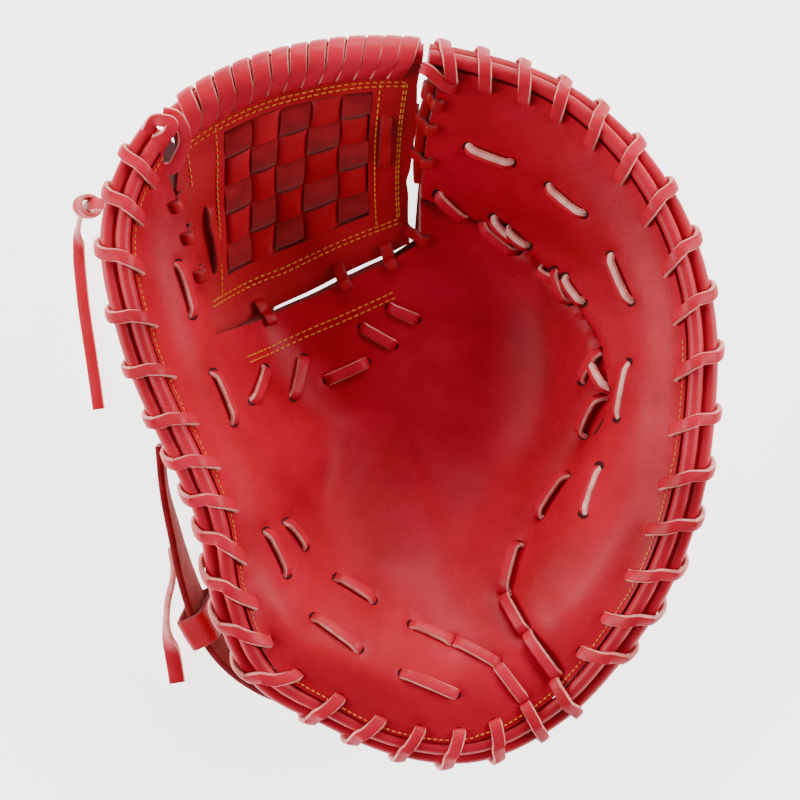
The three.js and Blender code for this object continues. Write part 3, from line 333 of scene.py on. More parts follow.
def bowl_height(x, y):
    angle = np.degrees(np.arctan2(y / mitt_length, x / mitt_width))
    reach = spoke(angle)[2]
    out = np.hypot(x, y) / reach
    foot, crest = around("foot", angle), around("crest", angle)
    foot_z, crest_z, rim = (around(name, angle) * mitt_depth for name in ("low", "high", "rim"))
    rim_slope = np.tan(np.radians(around("lean", angle))) * reach
    foot_slope = (crest_z - pocket_floor) / crest
    crest_slope = (rim - foot_z) / (1 - foot)
    beyond = rim + (out - 1) * rim_slope
    top = hermite(crest_z, rim, crest_slope, rim_slope, 1 - crest, (out - crest) / (1 - crest))
    wall = hermite(foot_z, crest_z, foot_slope, crest_slope, crest - foot, (out - foot) / (crest - foot))
    floor = hermite(pocket_floor, foot_z, 0, foot_slope, foot, out / foot)
    return np.where(out > 1, beyond, np.where(out > crest, top, np.where(out > foot, wall, floor)))


def unit(v):
    return v / np.maximum(np.linalg.norm(v, axis=-1, keepdims=True), 1e-12)


def face_point(x, y):
    x, y = np.asarray(x, float), np.asarray(y, float)
    rise_x = (bowl_height(x + 1, y) - bowl_height(x - 1, y)) / 2
    rise_y = (bowl_height(x, y + 1) - bowl_height(x, y - 1)) / 2
    normal = unit(np.stack([-rise_x, -rise_y, np.ones_like(rise_x)], -1))
    return np.stack([x, y, bowl_height(x, y)], -1), normal


def rim_place(angle):
    angle = np.asarray(angle, float)
    x, y, reach = spoke(angle)
    return np.stack([x * reach, y * reach, around("rim", angle) * mitt_depth], -1)


def rim_frame(angle):
    angle = np.asarray(angle, float)
    face = rim_place(angle)
    along = unit(rim_place(angle + 0.5) - rim_place(angle - 0.5))
    outward = unit(np.cross(along, straight_up))
    upright = np.cross(outward, along)
    wall_normal = face_point(face[..., 0] * 0.995, face[..., 1] * 0.995)[1]
    rise = unit(np.cross(along, wall_normal))
    inward = np.cross(rise, along)
    tuck = np.radians(around("tuck", angle))[..., None]
    across = outward * np.cos(tuck) - upright * np.sin(tuck)
    edge = face - inward * palm_thickness / 2
    palm_welt = edge + rise * (welt_diameter / 2 + seat_gap)
    back_welt = palm_welt + across * (welt_diameter + seat_gap)
    return {
        "face": face, "along": along, "rise": rise, "across": across, "inward": inward,
        "palm_welt": palm_welt, "back_welt": back_welt,
    }


def palm_below_rim(angle, depth):
    x, y, reach = spoke(angle)
    out, walked = reach, 0.0
    while walked < depth:
        rise = bowl_height(x * out, y * out) - bowl_height(x * (out - 0.5), y * (out - 0.5))
        walked += math.hypot(0.5, rise)
        out -= 0.5
    return face_point(x * out, y * out)


def smooth_path(points, per_span):
    """Centripetal Catmull-Rom curve through points, as an array of places."""
    p = np.asarray(points, float)
    p = np.vstack([2 * p[0] - p[1], p, 2 * p[-1] - p[-2]])
    places = []
    for i in range(len(p) - 3):
        a, b, c, d = p[i:i + 4]
        t1 = max(np.linalg.norm(b[:3] - a[:3]), 1e-4) ** 0.5
        t2 = t1 + max(np.linalg.norm(c[:3] - b[:3]), 1e-4) ** 0.5
        t3 = t2 + max(np.linalg.norm(d[:3] - c[:3]), 1e-4) ** 0.5
        t = np.linspace(t1, t2, per_span, endpoint=False)[:, None]
        ab = (t1 - t) / t1 * a + t / t1 * b
        bc = (t2 - t) / (t2 - t1) * b + (t - t1) / (t2 - t1) * c
        cd = (t3 - t) / (t3 - t2) * c + (t - t2) / (t3 - t2) * d
        abc = (t2 - t) / t2 * ab + t / t2 * bc
        bcd = (t3 - t) / (t3 - t1) * bc + (t - t1) / (t3 - t1) * cd
        places.append((t2 - t) / (t2 - t1) * abc + (t - t1) / (t2 - t1) * bcd)
    places.append(p[-2][None])
    return np.vstack(places)


def even_path(path, shares):
    """Places at shares of a path's length."""
    steps = np.linalg.norm(np.diff(path[:, :3], axis=0), axis=1)
    far = np.concatenate([[0], np.cumsum(steps)])
    return np.stack([np.interp(np.asarray(shares) * far[-1], far, column) for column in path.T], -1)


def path_length(path):
    return float(np.linalg.norm(np.diff(path, axis=0), axis=1).sum())


def distance_to(line, x, y):
    """Distance in the plan from places to a polyline, and which side of it they are on."""
    best = np.full(np.shape(x), 1e9)
    side = np.zeros(np.shape(x))
    for (ax, ay), (bx, by) in zip(line[:-1], line[1:]):
        dx, dy = bx - ax, by - ay
        t = np.clip(((x - ax) * dx + (y - ay) * dy) / (dx * dx + dy * dy), 0, 1)
        d = np.hypot(x - ax - t * dx, y - ay - t * dy)
        turn = np.sign(dx * (y - ay) - dy * (x - ax))
        side = np.where(d < best, turn, side)
        best = np.minimum(best, d)
    return best, side


def stall_share(angle):
    finger_share = (angle - finger_back_start) / (finger_tip - finger_back_start)
    fingers = np.abs(np.sin(np.pi * stall_count * finger_share))
    thumb = np.sin(np.pi * (angle - thumb_tip) / (thumb_back_end - thumb_tip))
    return np.where(angle > thumb_back_end, fingers, thumb)


def back_section(angle):
    rim = rim_frame(angle)
    x, y, reach = spoke(angle)
    bulge = stall_bulge * float(stall_share(angle))
    start = rim["back_welt"] - rim["rise"] * (welt_diameter / 2 + seat_gap)
    start = start - rim["inward"] * back_leather / 2
    points = [start]
    for out, height in back_profile:
        far = reach * out + (bulge if height > 0 else 0)
        points.append((x * far, y * far, rim["face"][2] * height))
    return smooth_path(points, 14)


def back_point(angle, shares):
    section = back_section(angle)
    shares = np.atleast_1d(np.asarray(shares, float))
    point = even_path(section, shares)
    ahead = even_path(section, np.minimum(shares + 0.01, 1))
    behind = even_path(section, np.maximum(shares - 0.01, 0))
    along = unit(ahead - behind)
    x, y, _ = spoke(angle)
    normal = unit(np.cross(along, np.array([-y, x, 0.0])))
    flat = point[:, 2] <= 0.02
    point[:, 2] = np.maximum(point[:, 2], 0)
    normal[flat] = (0, 0, -1)
    return point, normal


bottom_path = smooth_path([(x * mitt_width, y * mitt_length, 0) for x, y in web_bottom], 40)


def web_point(a, b, depth=0.0):
    a, b = np.broadcast_arrays(np.asarray(a, float), np.asarray(b, float))
    top = rim_place(web_top[0] + (web_top[1] - web_top[0]) * a)
    spot = np.clip(a, 0, 1) * (len(bottom_path) - 1)
    index = np.arange(len(bottom_path))
    bottom_x = np.interp(spot, index, bottom_path[:, 0])
    bottom_y = np.interp(spot, index, bottom_path[:, 1])
    down = web_top_drop + (1 - web_top_drop) * b
    waist = -4 * down * (1 - down) * a**2 * web_waist * mitt_width
    x = top[..., 0] + (bottom_x - top[..., 0]) * down + waist
    y = top[..., 1] + (bottom_y - top[..., 1]) * down
    point, normal = face_point(x, y)
    back_off = palm_thickness + web_setback + np.asarray(depth, float)
    return point - normal * np.asarray(back_off)[..., None], normal


# Materials
def linear(hex_colour):
    """An sRGB hex colour as linear red, green, blue and alpha."""
    parts = [int(hex_colour[i:i + 2], 16) / 255 for i in (1, 3, 5)]
    return [p / 12.92 if p <= 0.04045 else ((p + 0.055) / 1.055) ** 2.4 for p in parts] + [1.0]


def add_node(tree, kind, inputs=(), **settings):
    made = tree.nodes.new(kind)
    for name, value in settings.items():
        setattr(made, name, value)
    for name, value in dict(inputs).items():
        if isinstance(value, bpy.types.NodeSocket):
            tree.links.new(value, made.inputs[name])
        else:
            made.inputs[name].default_value = value
    return made


def empty_material(name):
    material = bpy.data.materials.new(name)
    material.use_nodes = True
    tree = material.node_tree
    tree.nodes.clear()
    return material, tree


def ramp(tree, factor, stops):
    made = add_node(tree, "ShaderNodeValToRGB", {"Fac": factor})
    elements = made.color_ramp.elements
    while len(elements) < len(stops):
        elements.new(0.5)
    for element, (place, colour) in zip(elements, stops):
        element.position = place
        element.color = linear(colour)
    return made.outputs["Color"]


def texture(tree, kind, where, per_metre, **inputs):
    """A pattern in the piece's own space, with its scale given as patterns to the metre."""
    return add_node(tree, f"ShaderNodeTex{kind}", {"Vector": where, "Scale": per_metre, **inputs})


def raised(tree, height, depth_mm, strength=1.0, below=None):
    """The normal of a pattern this deep, over that of a coarser pattern."""
    inputs = {"Height": height, "Strength": strength, "Distance": depth_mm * mm}
    if below is not None:
        inputs["Normal"] = below
    return add_node(tree, "ShaderNodeBump", inputs).outputs["Normal"]


def surface(tree, inputs):
    shader = add_node(tree, "ShaderNodeBsdfPrincipled", inputs)
    add_node(tree, "ShaderNodeOutputMaterial", {"Surface": shader.outputs["BSDF"]})
    return shader


def leather(name, deep, middle, light, roughness, gloss, grain_mm, grain_depth, crease_depth):
    """Chrome-tanned cowhide, dyed through and oiled: cloudy dye, fine pores and soft creases."""
    material, tree = empty_material(name)
    where = add_node(tree, "ShaderNodeTexCoord").outputs["Object"]
    # Cloudy dye, about 45 mm across, keeps the red from looking like plastic
    cloud = texture(tree, "Noise", where, 22.0, Detail=4.0, Roughness=0.6).outputs["Fac"]
    dye = ramp(tree, cloud, [(0.32, deep), (0.5, middle), (0.7, light)])
    # Where the dye is lighter the hide is worn a little smoother
    worn = add_node(tree, "ShaderNodeMapRange", {
        "Value": cloud, "From Min": 0.3, "From Max": 0.7,
        "To Min": roughness + 0.03, "To Max": roughness - 0.03,
    })
    # Creases about 12 mm long where the hide has bent, the grain's pebbles, and pores under 0.5 mm
    crease = texture(tree, "Noise", where, 85.0, Detail=5.0, Roughness=0.62, Distortion=0.6)
    grain = texture(tree, "Voronoi", where, 1000.0 / grain_mm, Randomness=1.0)
    fine = texture(tree, "Noise", where, 2200.0, Detail=3.0)
    normal = raised(tree, crease.outputs["Fac"], crease_depth)
    normal = raised(tree, grain.outputs["Distance"], grain_depth, below=normal)
    normal = raised(tree, fine.outputs["Fac"], 0.05, 0.6, normal)
    surface(tree, {
        "Base Color": dye, "Roughness": worn.outputs["Result"], "Normal": normal, "Specular IOR Level": gloss,
    })
    return material


def rough_hide(name, deep, light, fibre_mm, depth):
    """The flesh side or a cut edge of the hide: matt, with a short nap of fibres."""
    material, tree = empty_material(name)
    where = add_node(tree, "ShaderNodeTexCoord").outputs["Object"]
    # Fibres a little under 1 mm, and patches about 8 mm across, give the nap its uneven colour
    nap = texture(tree, "Noise", where, 1000.0 / fibre_mm, Detail=6.0, Roughness=0.7).outputs["Fac"]
    patch = texture(tree, "Noise", where, 130.0, Detail=3.0).outputs["Fac"]
    both = add_node(tree, "ShaderNodeMath", {0: nap, 1: patch}, operation="ADD")
    half = add_node(tree, "ShaderNodeMath", {0: both.outputs["Value"], 1: 0.5}, operation="MULTIPLY")
    surface(tree, {
        "Base Color": ramp(tree, half.outputs["Value"], [(0.4, deep), (0.6, light)]),
        "Roughness": 0.85, "Normal": raised(tree, nap, depth),
        "Specular IOR Level": 0.15, "Sheen Weight": 0.08, "Sheen Roughness": 0.5,
    })
    return material


def thread(name, colour):
    """Waxed polyester thread, its twist about 0.4 mm fine."""
    material, tree = empty_material(name)
    where = add_node(tree, "ShaderNodeTexCoord").outputs["Object"]
    twist = texture(tree, "Noise", where, 2500.0, Detail=2.0)
    shader = surface(tree, {"Normal": raised(tree, twist.outputs["Fac"], 0.08, 0.5)})
    shader.inputs["Base Color"].default_value = linear(colour)
    shader.inputs["Roughness"].default_value = 0.5
    return material


# Each hide's deep, middle and light dye, roughness, gloss, and its grain's size, depth and crease
palm_hide = leather("oiled_red_palm_hide", "#96071a", "#a60a22", "#b40f2a", 0.42, 0.12, 1.1, 0.05, 0.1)
welt_hide = leather("rolled_red_welt_hide", "#980a1c", "#ac0f26", "#bc1830", 0.4, 0.2, 0.9, 0.05, 0.15)
web_hide = leather("oiled_dark_red_web_hide", "#8c0914", "#a00e1c", "#b01424", 0.42, 0.2, 1.0, 0.05, 0.12)
back_hide = leather("oiled_red_back_hide", "#900b1a", "#a61124", "#b81a2e", 0.45, 0.25, 1.1, 0.06, 0.2)
strap_hide = leather("red_strap_hide", "#960f1e", "#ad1628", "#be2034", 0.45, 0.25, 1.0, 0.06, 0.15)
lace_hide = leather("red_rawhide_lace", "#a00c20", "#b4122a", "#c21b36", 0.42, 0.18, 0.8, 0.04, 0.12)
# The laces on and beside the web: the red lace hide darkened, as painted shade for where they lie
shaded_web_lace_hide = leather("red_web_lace_with_painted_shade", "#85060f", "#9a0b18", "#ab1221", 0.45, 0.2, 0.8, 0.04, 0.12)
lace_edge = rough_hide("cut_lace_edge", "#c4605c", "#e89a92", 0.7, 0.15)
lace_flesh = rough_hide("lace_flesh_side", "#cf8078", "#efb9ae", 0.6, 0.2)
web_nap = rough_hide("rough_red_strip", "#7a0a12", "#94131c", 0.5, 0.25)
hide_edge = rough_hide("cut_hide_edge", "#6d1016", "#8d222a", 0.7, 0.15)
lining = rough_hide("dark_red_lining", "#5a0d12", "#741820", 0.7, 0.15)
strap_flesh = rough_hide("strap_flesh_side", "#7c2422", "#9a4a40", 0.7, 0.25)
# A flat, near-black red: painted shade for the bottoms of the punched holes and of the palm's split
painted_shade_hide = rough_hide("painted_shade_dark_red", "#250304", "#3a0608", 0.7, 0.1)
seam_thread = thread("orange_seam_thread", "#d97a1e")


# Meshes
def to_row(points):
    return (np.asarray(points, float).reshape(-1, 3) + np.array(pocket_centre)) * mm


def make_piece(name, points, faces, materials, slots=None, crease=40):
    """A shown piece from places in mm, faces and each face's place in the list of materials."""
    mesh = bpy.data.meshes.new(name)
    mesh.from_pydata(to_row(points).tolist(), [], [list(map(int, f)) for f in faces])
    for material in materials:
        mesh.materials.append(material)
    if slots is not None:
        mesh.polygons.foreach_set("material_index", np.asarray(slots, np.int32))
    made = bmesh.new()
    made.from_mesh(mesh)
    bmesh.ops.recalc_face_normals(made, faces=made.faces)
    made.to_mesh(mesh)
    made.free()
    mesh.shade_smooth()
    mesh.set_sharp_from_angle(angle=math.radians(crease))
    piece = bpy.data.objects.new(name, mesh)
    bpy.context.scene.collection.objects.link(piece)
    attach(piece, "root")
    return piece


def stands_for(piece, slot, *nodes):
    if nodes:
        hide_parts(*nodes)
    return piece


def panel(name, front, back, materials, keep=None):
    """A sheet of leather from grids of places on its front and back, with walls at free edges."""
    rows, columns = front.shape[:2]
    index = np.arange(rows * columns).reshape(rows, columns)
    # Places that fall together, as at the palm's inner edge, share one vertex
    keys = {}
    first = np.empty(rows * columns, int)
    for i, p in enumerate(np.round(front.reshape(-1, 3), 2)):
        first[i] = keys.setdefault(tuple(p), i)
    index = first[index]
    quads = np.stack([index[:-1, :-1], index[:-1, 1:], index[1:, 1:], index[1:, :-1]], -1)
    if keep is not None:
        quads = quads[keep]
    quads = quads.reshape(-1, 4)
    faces, edges = [], set()
    for quad in quads.tolist():
        face = [v for i, v in enumerate(quad) if v != quad[i - 1]]
        if len(set(face)) < 3:
            continue
        faces.append(face)
        edges.update(zip(face, face[1:] + face[:1]))
    behind = rows * columns
    slots = [0] * len(faces) + [1] * len(faces)
    walls = [[p, p + behind, q + behind, q] for p, q in edges if (q, p) not in edges]
    faces = faces + [[v + behind for v in reversed(face)] for face in faces] + walls
    slots += [2] * len(walls)
    points = np.concatenate([front.reshape(-1, 3), back.reshape(-1, 3)])
    used = sorted({v for face in faces for v in face})
    place = {v: i for i, v in enumerate(used)}
    faces = [[place[v] for v in face] for face in faces]
    return make_piece(name, points[used], faces, materials, slots, crease=50)


def ribbon_mesh(stops, width, thickness, per_span=4, half_flesh=False):
    """Points, faces and sides of a flat lace through stops of (place, way its face looks)."""
    data = np.array([np.concatenate([p, unit(np.asarray(f, float))]) for p, f in stops])
    path = smooth_path(data, per_span)
    centre, face = path[:, :3], path[:, 3:]
    along = unit(np.gradient(centre, axis=0))
    outward = unit(face - (face * along).sum(1, keepdims=True) * along)
    side = np.cross(along, outward)
    crown = 0.12 * thickness
    slope = 0.2 * thickness
    half_w, half_t = width / 2, thickness / 2
    edge_t, shoulder_t, low_t = half_t - 0.05, half_t + 0.03, slope - half_t
    ring = [
        (-half_w + slope, edge_t), (-half_w + 2 * slope, shoulder_t), (0, half_t + crown),
        (half_w - 2 * slope, shoulder_t), (half_w - slope, edge_t), (half_w, low_t),
        (half_w - slope, -half_t), (0, -half_t), (-half_w + slope, -half_t), (-half_w, low_t),
    ]
    # Which of the three materials each side of the ring has: grain, cut edge or flesh
    sides = [2, 2] if half_flesh else [0, 0]
    sides += [0, 0, 1, 1, 2, 2, 1, 1]
    count = len(ring)
    points = np.concatenate([centre[:, None] + s * side[:, None] + t * outward[:, None] for s, t in ring], 1)
    faces, slots = [], []
    for i in range(len(centre) - 1):
        for k in range(count):
            a, b = i * count + k, i * count + (k + 1) % count
            faces.append([a, b, b + count, a + count])
            slots.append(sides[k])
    last = (len(centre) - 1) * count
    faces.append(list(range(count))[::-1])
    faces.append(list(range(last, last + count)))
    slots += [1, 1]
    return points.reshape(-1, 3), faces, slots


def join_meshes(parts):
    points, faces, slots, start = [], [], [], 0
    for part_points, part_faces, part_slots in parts:
        points.append(part_points)
        faces += [[v + start for v in face] for face in part_faces]
        slots += list(part_slots)
        start += len(part_points)
    return np.concatenate(points), faces, slots


lace_materials = [lace_hide, lace_edge, lace_flesh]
# The web's laces: the darkened lace hide, with the hide's dark cut edge in place of the pale lace edge, as
# painted shade
shaded_web_lace_materials = [shaded_web_lace_hide, hide_edge, lace_flesh]


def lace_piece(name, parts, materials=None):
    points, faces, slots = join_meshes(parts)
    return make_piece(name, points, faces, materials or lace_materials, slots, crease=70)


def round_tube(name, centre, radius, materials, sides, wobble=0.0):
    """A closed round roll along a path, a little uneven where wobble says so."""
    along = unit(np.gradient(centre, axis=0))
    side = unit(np.cross(along, straight_up))
    rise = np.cross(side, along)
    turn = np.arange(sides) * 2 * np.pi / sides
    swell = 1 + wobble * np.sin(np.arange(len(centre)) * 0.9) * np.cos(np.arange(len(centre)) * 0.37)
    ring = np.cos(turn)[None, :, None] * side[:, None] + np.sin(turn)[None, :, None] * rise[:, None]
    points = centre[:, None] + radius * swell[:, None, None] * ring
    faces = []
    for i in range(len(centre) - 1):
        for k in range(sides):
            a, b = i * sides + k, i * sides + (k + 1) % sides
            faces.append([a, b, b + sides, a + sides])
    last = (len(centre) - 1) * sides
    faces += [list(range(sides))[::-1], list(range(last, last + sides))]
    return make_piece(name, points, faces, materials, crease=60)


# Palm
def rotate(v, axis, angle):
    cos, sin = math.cos(angle), math.sin(angle)
    return v * cos + np.cross(axis, v) * sin + axis * np.dot(axis, v) * (1 - cos)


def turned(start, end, axis):
    """Ways from start round to end about an axis, at most 24 degrees apart."""
    sweep = math.atan2(np.dot(np.cross(start, end), axis), np.dot(start, end))
    full = sweep + 2 * math.pi if sweep < -0.2 else sweep
    count = max(math.ceil(full / math.radians(24)), 1) + 1
    return [rotate(start, axis, angle) for angle in np.linspace(0, full, count)]


all_rim_loops = thumb_loops + heel_loops + finger_loops + tip_loops
hole_places = [palm_below_rim(hole, palm_hole_depth)[0][:2] for hole, _ in all_rim_loops]
for x0, y0, x1, y1, _ in palm_stitches + split_stitches:
    hole_places += [np.array((x0, y0)), np.array((x1, y1))]


def hump(away, spread):
    return np.exp(-((away / spread) ** 2))


def palm_relief(x, y):
    """How far the palm stands off its smooth bowl: split, valley, puckers and slack."""
    away, side = distance_to(palm_split, x, y)
    relief = np.where(side > 0, *split_lip) * hump(np.maximum(away - split_lip_start, 0), split_lip_spread)
    relief -= split_depth * hump(away, split_spread)
    away, side = distance_to(pad_valley, x, y)
    relief -= valley_depth * hump(away, valley_spread)
    relief += np.where(side > 0, *pad_swell) * hump(away - pad_middle, pad_spread)
    for px, py in hole_places:
        relief -= pucker_depth * hump(np.hypot(x - px, y - py), pucker_spread)
    slack = np.sin(x / 13 + 1.3 * np.sin(y / 21)) * np.sin(y / 17 + 1.1 * np.sin(x / 19 + 2))
    return relief + slack_height * slack


def palm_piece():
    """The palm's hide: rows of places run from its inner edge out to the rim."""
    count = len(palm_edge)
    rims = rim_place(palm_edge[:, 0])
    lengths = []
    for i in range(count - 1):
        edge = np.hypot(*((palm_edge[i + 1, 1:] - palm_edge[i, 1:]) * (mitt_width, mitt_length)))
        lengths.append(max(edge, np.linalg.norm(rims[i + 1] - rims[i])))
    # Along the spine the edge runs out and back on one line, so both ways take the same steps
    for i in range(spine_first, spine_last):
        mirror = spine_first + spine_last - 1 - i
        lengths[i] = lengths[mirror] = max(lengths[i], lengths[mirror])
    spots = [0.0]
    for i, length in enumerate(lengths):
        steps = max(2, round(length / palm_grid))
        spots += [i + (k + 1) / steps for k in range(steps)]
    index = np.arange(count)
    rim_angle, edge_x, edge_y = (np.interp(spots, index, palm_edge[:, k]) for k in range(3))
    edge = np.stack([edge_x * mitt_width, edge_y * mitt_length], -1)[:, None]
    rim = rim_place(rim_angle)[:, None, :2]
    shares = np.linspace(0, 1, palm_steps)[None, :, None]
    plan = edge + (rim - edge) * shares
    point, normal = face_point(plan[..., 0], plan[..., 1])
    relief = palm_relief(plan[..., 0], plan[..., 1])
    near_rim = np.clip((1 - shares[..., 0]) / rim_fade, 0, 1)
    front = point + normal * (relief * near_rim)[..., None]
    back = point - normal * palm_thickness
    piece = panel("palm_leather", front, back, [palm_hide, lining, hide_edge])
    stands_for(piece, "red_leather", "palm_shell")


def split_shade_strip():
    """A thin dark strip of painted shade along the bottom of the split, under the finger side's edge."""
    path = smooth_path(palm_split + split_tail, 10)[2:-2:3]
    point, normal = face_point(path[:, 0], path[:, 1])
    rise = palm_relief(path[:, 0], path[:, 1])[:, None] - 0.1
    parts = [ribbon_mesh(list(zip(point + normal * rise, normal)), shade_strip_width, shade_strip_thickness, 3)]
    stands_for(lace_piece("split_shade_strip", parts, [painted_shade_hide] * 3), "red_leather")


# Back
def back_piece(name, node, start, end):
    angles = np.linspace(start, end, 170)
    shares = np.linspace(0, 1, 60)
    point, normal = (np.stack(v) for v in zip(*(back_point(angle, shares) for angle in angles)))
    x, y, z = point[..., 0], point[..., 1], point[..., 2]
    slack = 0.5 * np.sin(x / 9 + y / 15) * np.sin(z / 11 + y / 12)
    free = np.clip(z / 14, 0, 1)
    front = point + normal * (slack * free)[..., None]
    back = point - normal * back_leather
    stands_for(panel(name, front, back, [back_hide, lining, hide_edge]), "red_leather", node)


def welt_piece(name, which):
    centre = rim_frame(np.linspace(thumb_tip, finger_tip, 520))[which]
    piece = round_tube(name, centre, welt_diameter / 2, [welt_hide], sides=22, wobble=0.012)
    stands_for(piece, "red_leather", which)


def rim_beside(angle, place):
    """The rim angle nearest in the plan to a place on the palm."""
    angles = np.linspace(angle - 14, angle + 14, 225)
    rim = rim_place(angles)
    return float(angles[np.hypot(rim[:, 0] - place[0], rim[:, 1] - place[1]).argmin()])


def lace_middle(rim):
    """The place inside the welts that a loop of rim lace is wrapped round."""
    between = rim["across"] * (welt_diameter + seat_gap) / 2
    return rim["palm_welt"] + between - rim["rise"] * palm_hole_depth / 3


# Of a loop's way along the rim, from its hole to the back: where its top is, how much it has done
# before it is on the welts, and how much it does over them
loop_top = 0.3
loop_lead, loop_slant = 0.25, 0.65


def rim_loop(hole_angle, out_angle, has_back):
    """Stops of one loop, up through the palm, over both welts and in through the back."""
    clear = welt_diameter / 2 + lift + welt_clearance
    point, normal = palm_below_rim(hole_angle, palm_hole_depth)
    foot = rim_beside(hole_angle, point)
    here = lace_middle(rim_frame(foot))
    stops = [
        (point - normal * (palm_thickness + lift), point - here),
        (point - normal * palm_thickness / 2, point - here),
        (point + normal * lift * 0.8, point - here),
    ]
    first = rim_frame(foot + loop_top * (out_angle - foot))
    top = unit(np.cross(first["across"], first["along"]))
    under = -unit(first["inward"] + first["rise"] * (0 if has_back else 0.4))
    turns = [("palm_welt", way) for way in turned(first["inward"], top, first["along"])]
    turns += [("back_welt", way) for way in turned(top, under, first["along"])]
    for i, (welt, way) in enumerate(turns):
        rim = rim_frame(foot + (loop_lead + loop_slant * i / (len(turns) - 1)) * (out_angle - foot))
        place = rim[welt] + way * clear
        stops.append((place, place - lace_middle(rim)))
    if has_back:
        last = lace_middle(rim_frame(out_angle))
        depth_share = back_hole_depth / path_length(back_section(out_angle))
        out, out_normal = (v[0] for v in back_point(out_angle, [depth_share]))
        stops.append((out + out_normal * lift, out - last))
        stops.append((out - out_normal * back_leather, out - last))
        stops.append((out - out_normal * (back_leather + lift), out - last))
    return stops


def rim_lace(name, node, loops, has_back):
    parts, hidden = [], None
    for hole_angle, out_angle in loops:
        stops = rim_loop(hole_angle, out_angle, has_back)
        if hidden is not None:
            stops = [hidden] + stops
        hidden = stops[-1]
        parts.append(ribbon_mesh(stops, lace_width + random.uniform(-0.5, 0.1), lace_thickness, 3))
    stands_for(lace_piece(name, parts), "lace_leather", node)


# Along a short lace: share of its length, height in laces' lift, and how its face looks back
stitch_rise = (
    (0, -3.2, 1.2), (0.015, -0.6, 0.9), (0.12, 0.9, 0.35), (0.3, 1.15, 0.1), (0.5, 1.25, 0),
    (0.7, 1.15, -0.1), (0.88, 0.9, -0.35), (0.985, -0.6, -0.9), (1, -3.2, -1.2),
)
# How far a lace's face is rolled towards the right of its way
stitch_roll = {"flat": 0.0, "rolled": -0.3, "flesh": -0.15}


def stitch_lace(x0, y0, x1, y1, kind, high):
    """Stops of a short lace that comes up at one place on the palm and goes down at another."""
    stops = []
    way = unit(np.array([x1 - x0, y1 - y0, 0.0]))
    right = np.array([way[1], -way[0], 0.0])
    for share, height, back in stitch_rise:
        point, normal = face_point(x0 + (x1 - x0) * share, y0 + (y1 - y0) * share)
        # A rolled lace stands on its edge, a little higher
        edge_up = abs(stitch_roll[kind]) * 0.8 if height > 0 else 0
        place = point + normal * (height * high + edge_up)
        stops.append((place, normal - way * back + right * stitch_roll[kind]))
    return stops


def short_laces(name, stitches, high, *nodes):
    parts = []
    for x0, y0, x1, y1, kind in stitches:
        stops = stitch_lace(x0, y0, x1, y1, kind, high)
        narrow = lace_width - short_lace_less
        parts.append(ribbon_mesh(stops, narrow, lace_thickness, 4, half_flesh=kind == "flesh"))
    stands_for(lace_piece(name, parts), "lace_leather", *nodes)


def paint_hole_shade():
    """Flat dark discs at each lace's end on the palm: painted shade standing for the punched holes."""
    parts = []
    turn = np.linspace(0, 2 * np.pi, hole_shade_sides + 1)[:-1]
    faces = [[0, 1 + k, 1 + (k + 1) % hole_shade_sides] for k in range(hole_shade_sides)]
    for px, py in hole_places:
        x = px + hole_shade_radius * np.concatenate([[0], np.cos(turn)])
        y = py + hole_shade_radius * np.concatenate([[0], np.sin(turn)])
        point, normal = face_point(x, y)
        rise = palm_relief(x, y) + 0.12
        parts.append((point + normal * rise[:, None], faces, [0] * hole_shade_sides))
    points, faces, slots = join_meshes(parts)
    stands_for(make_piece("lace_hole_painted_shade", points, faces, [painted_shade_hide], slots), "red_leather")


# Web
def window_shares(first, last, beyond):
    """Shares from 0 to 1 with one at each side of the window, and so many steps beyond it."""
    parts = ((0, first, 14), (first, last, 36), (last, 1, beyond))
    return np.concatenate([np.linspace(a, b, n, endpoint=False) for a, b, n in parts] + [[1.0]])


def web_frame_piece():
    """The web's hide: its edges run on behind the palm, apart from the notch by the fingers."""
    columns = window_shares(*window_sides, 14)
    rows = window_shares(*window_ends, 16)
    a, b = np.meshgrid(columns, rows, indexing="ij")
    swell = 0.5 * np.sin(a * 9 + 2 * b) * np.sin(b * 8 + 1)
    tucked = np.clip((b - 0.1) / 0.25, 0, 1) * np.clip((1 - b) / 0.08, 0, 1)
    notched = 1 - np.exp(-(((b - 0.66) / 0.05) ** 2))
    near_thumb = np.clip(1 - a / window_sides[0], 0, 1)
    near_fingers = np.clip((a - window_sides[1]) / (1 - window_sides[1]), 0, 1)
    a = a + tucked * (web_hidden_edge[1] * near_fingers * notched - web_hidden_edge[0] * near_thumb)
    front = web_point(a, b, -swell * 0.6)[0]
    back = web_point(a, b, web_leather)[0]
    middle_a = (columns[:-1] + columns[1:]) / 2
    middle_b = (rows[:-1] + rows[1:]) / 2
    in_a = (middle_a > window_sides[0]) & (middle_a < window_sides[1])
    in_b = (middle_b > window_ends[0]) & (middle_b < window_ends[1])
    keep = ~(in_a[:, None] & in_b[None, :])
    piece = panel("web_frame_leather", front, back, [web_hide, lining, hide_edge], keep)
    stands_for(piece, "web_leather", "web_frame")


# How far a strip stands off or sinks where it goes over or under another, in mm, where along the
# crossing it does so, its half width in the weave's step, and how its sides bend down
weave_puff = (0.2, -0.6)
weave_crossing = (0.16, 0.5, 0.84)
weave_half = 0.485
weave_crown = 0.45


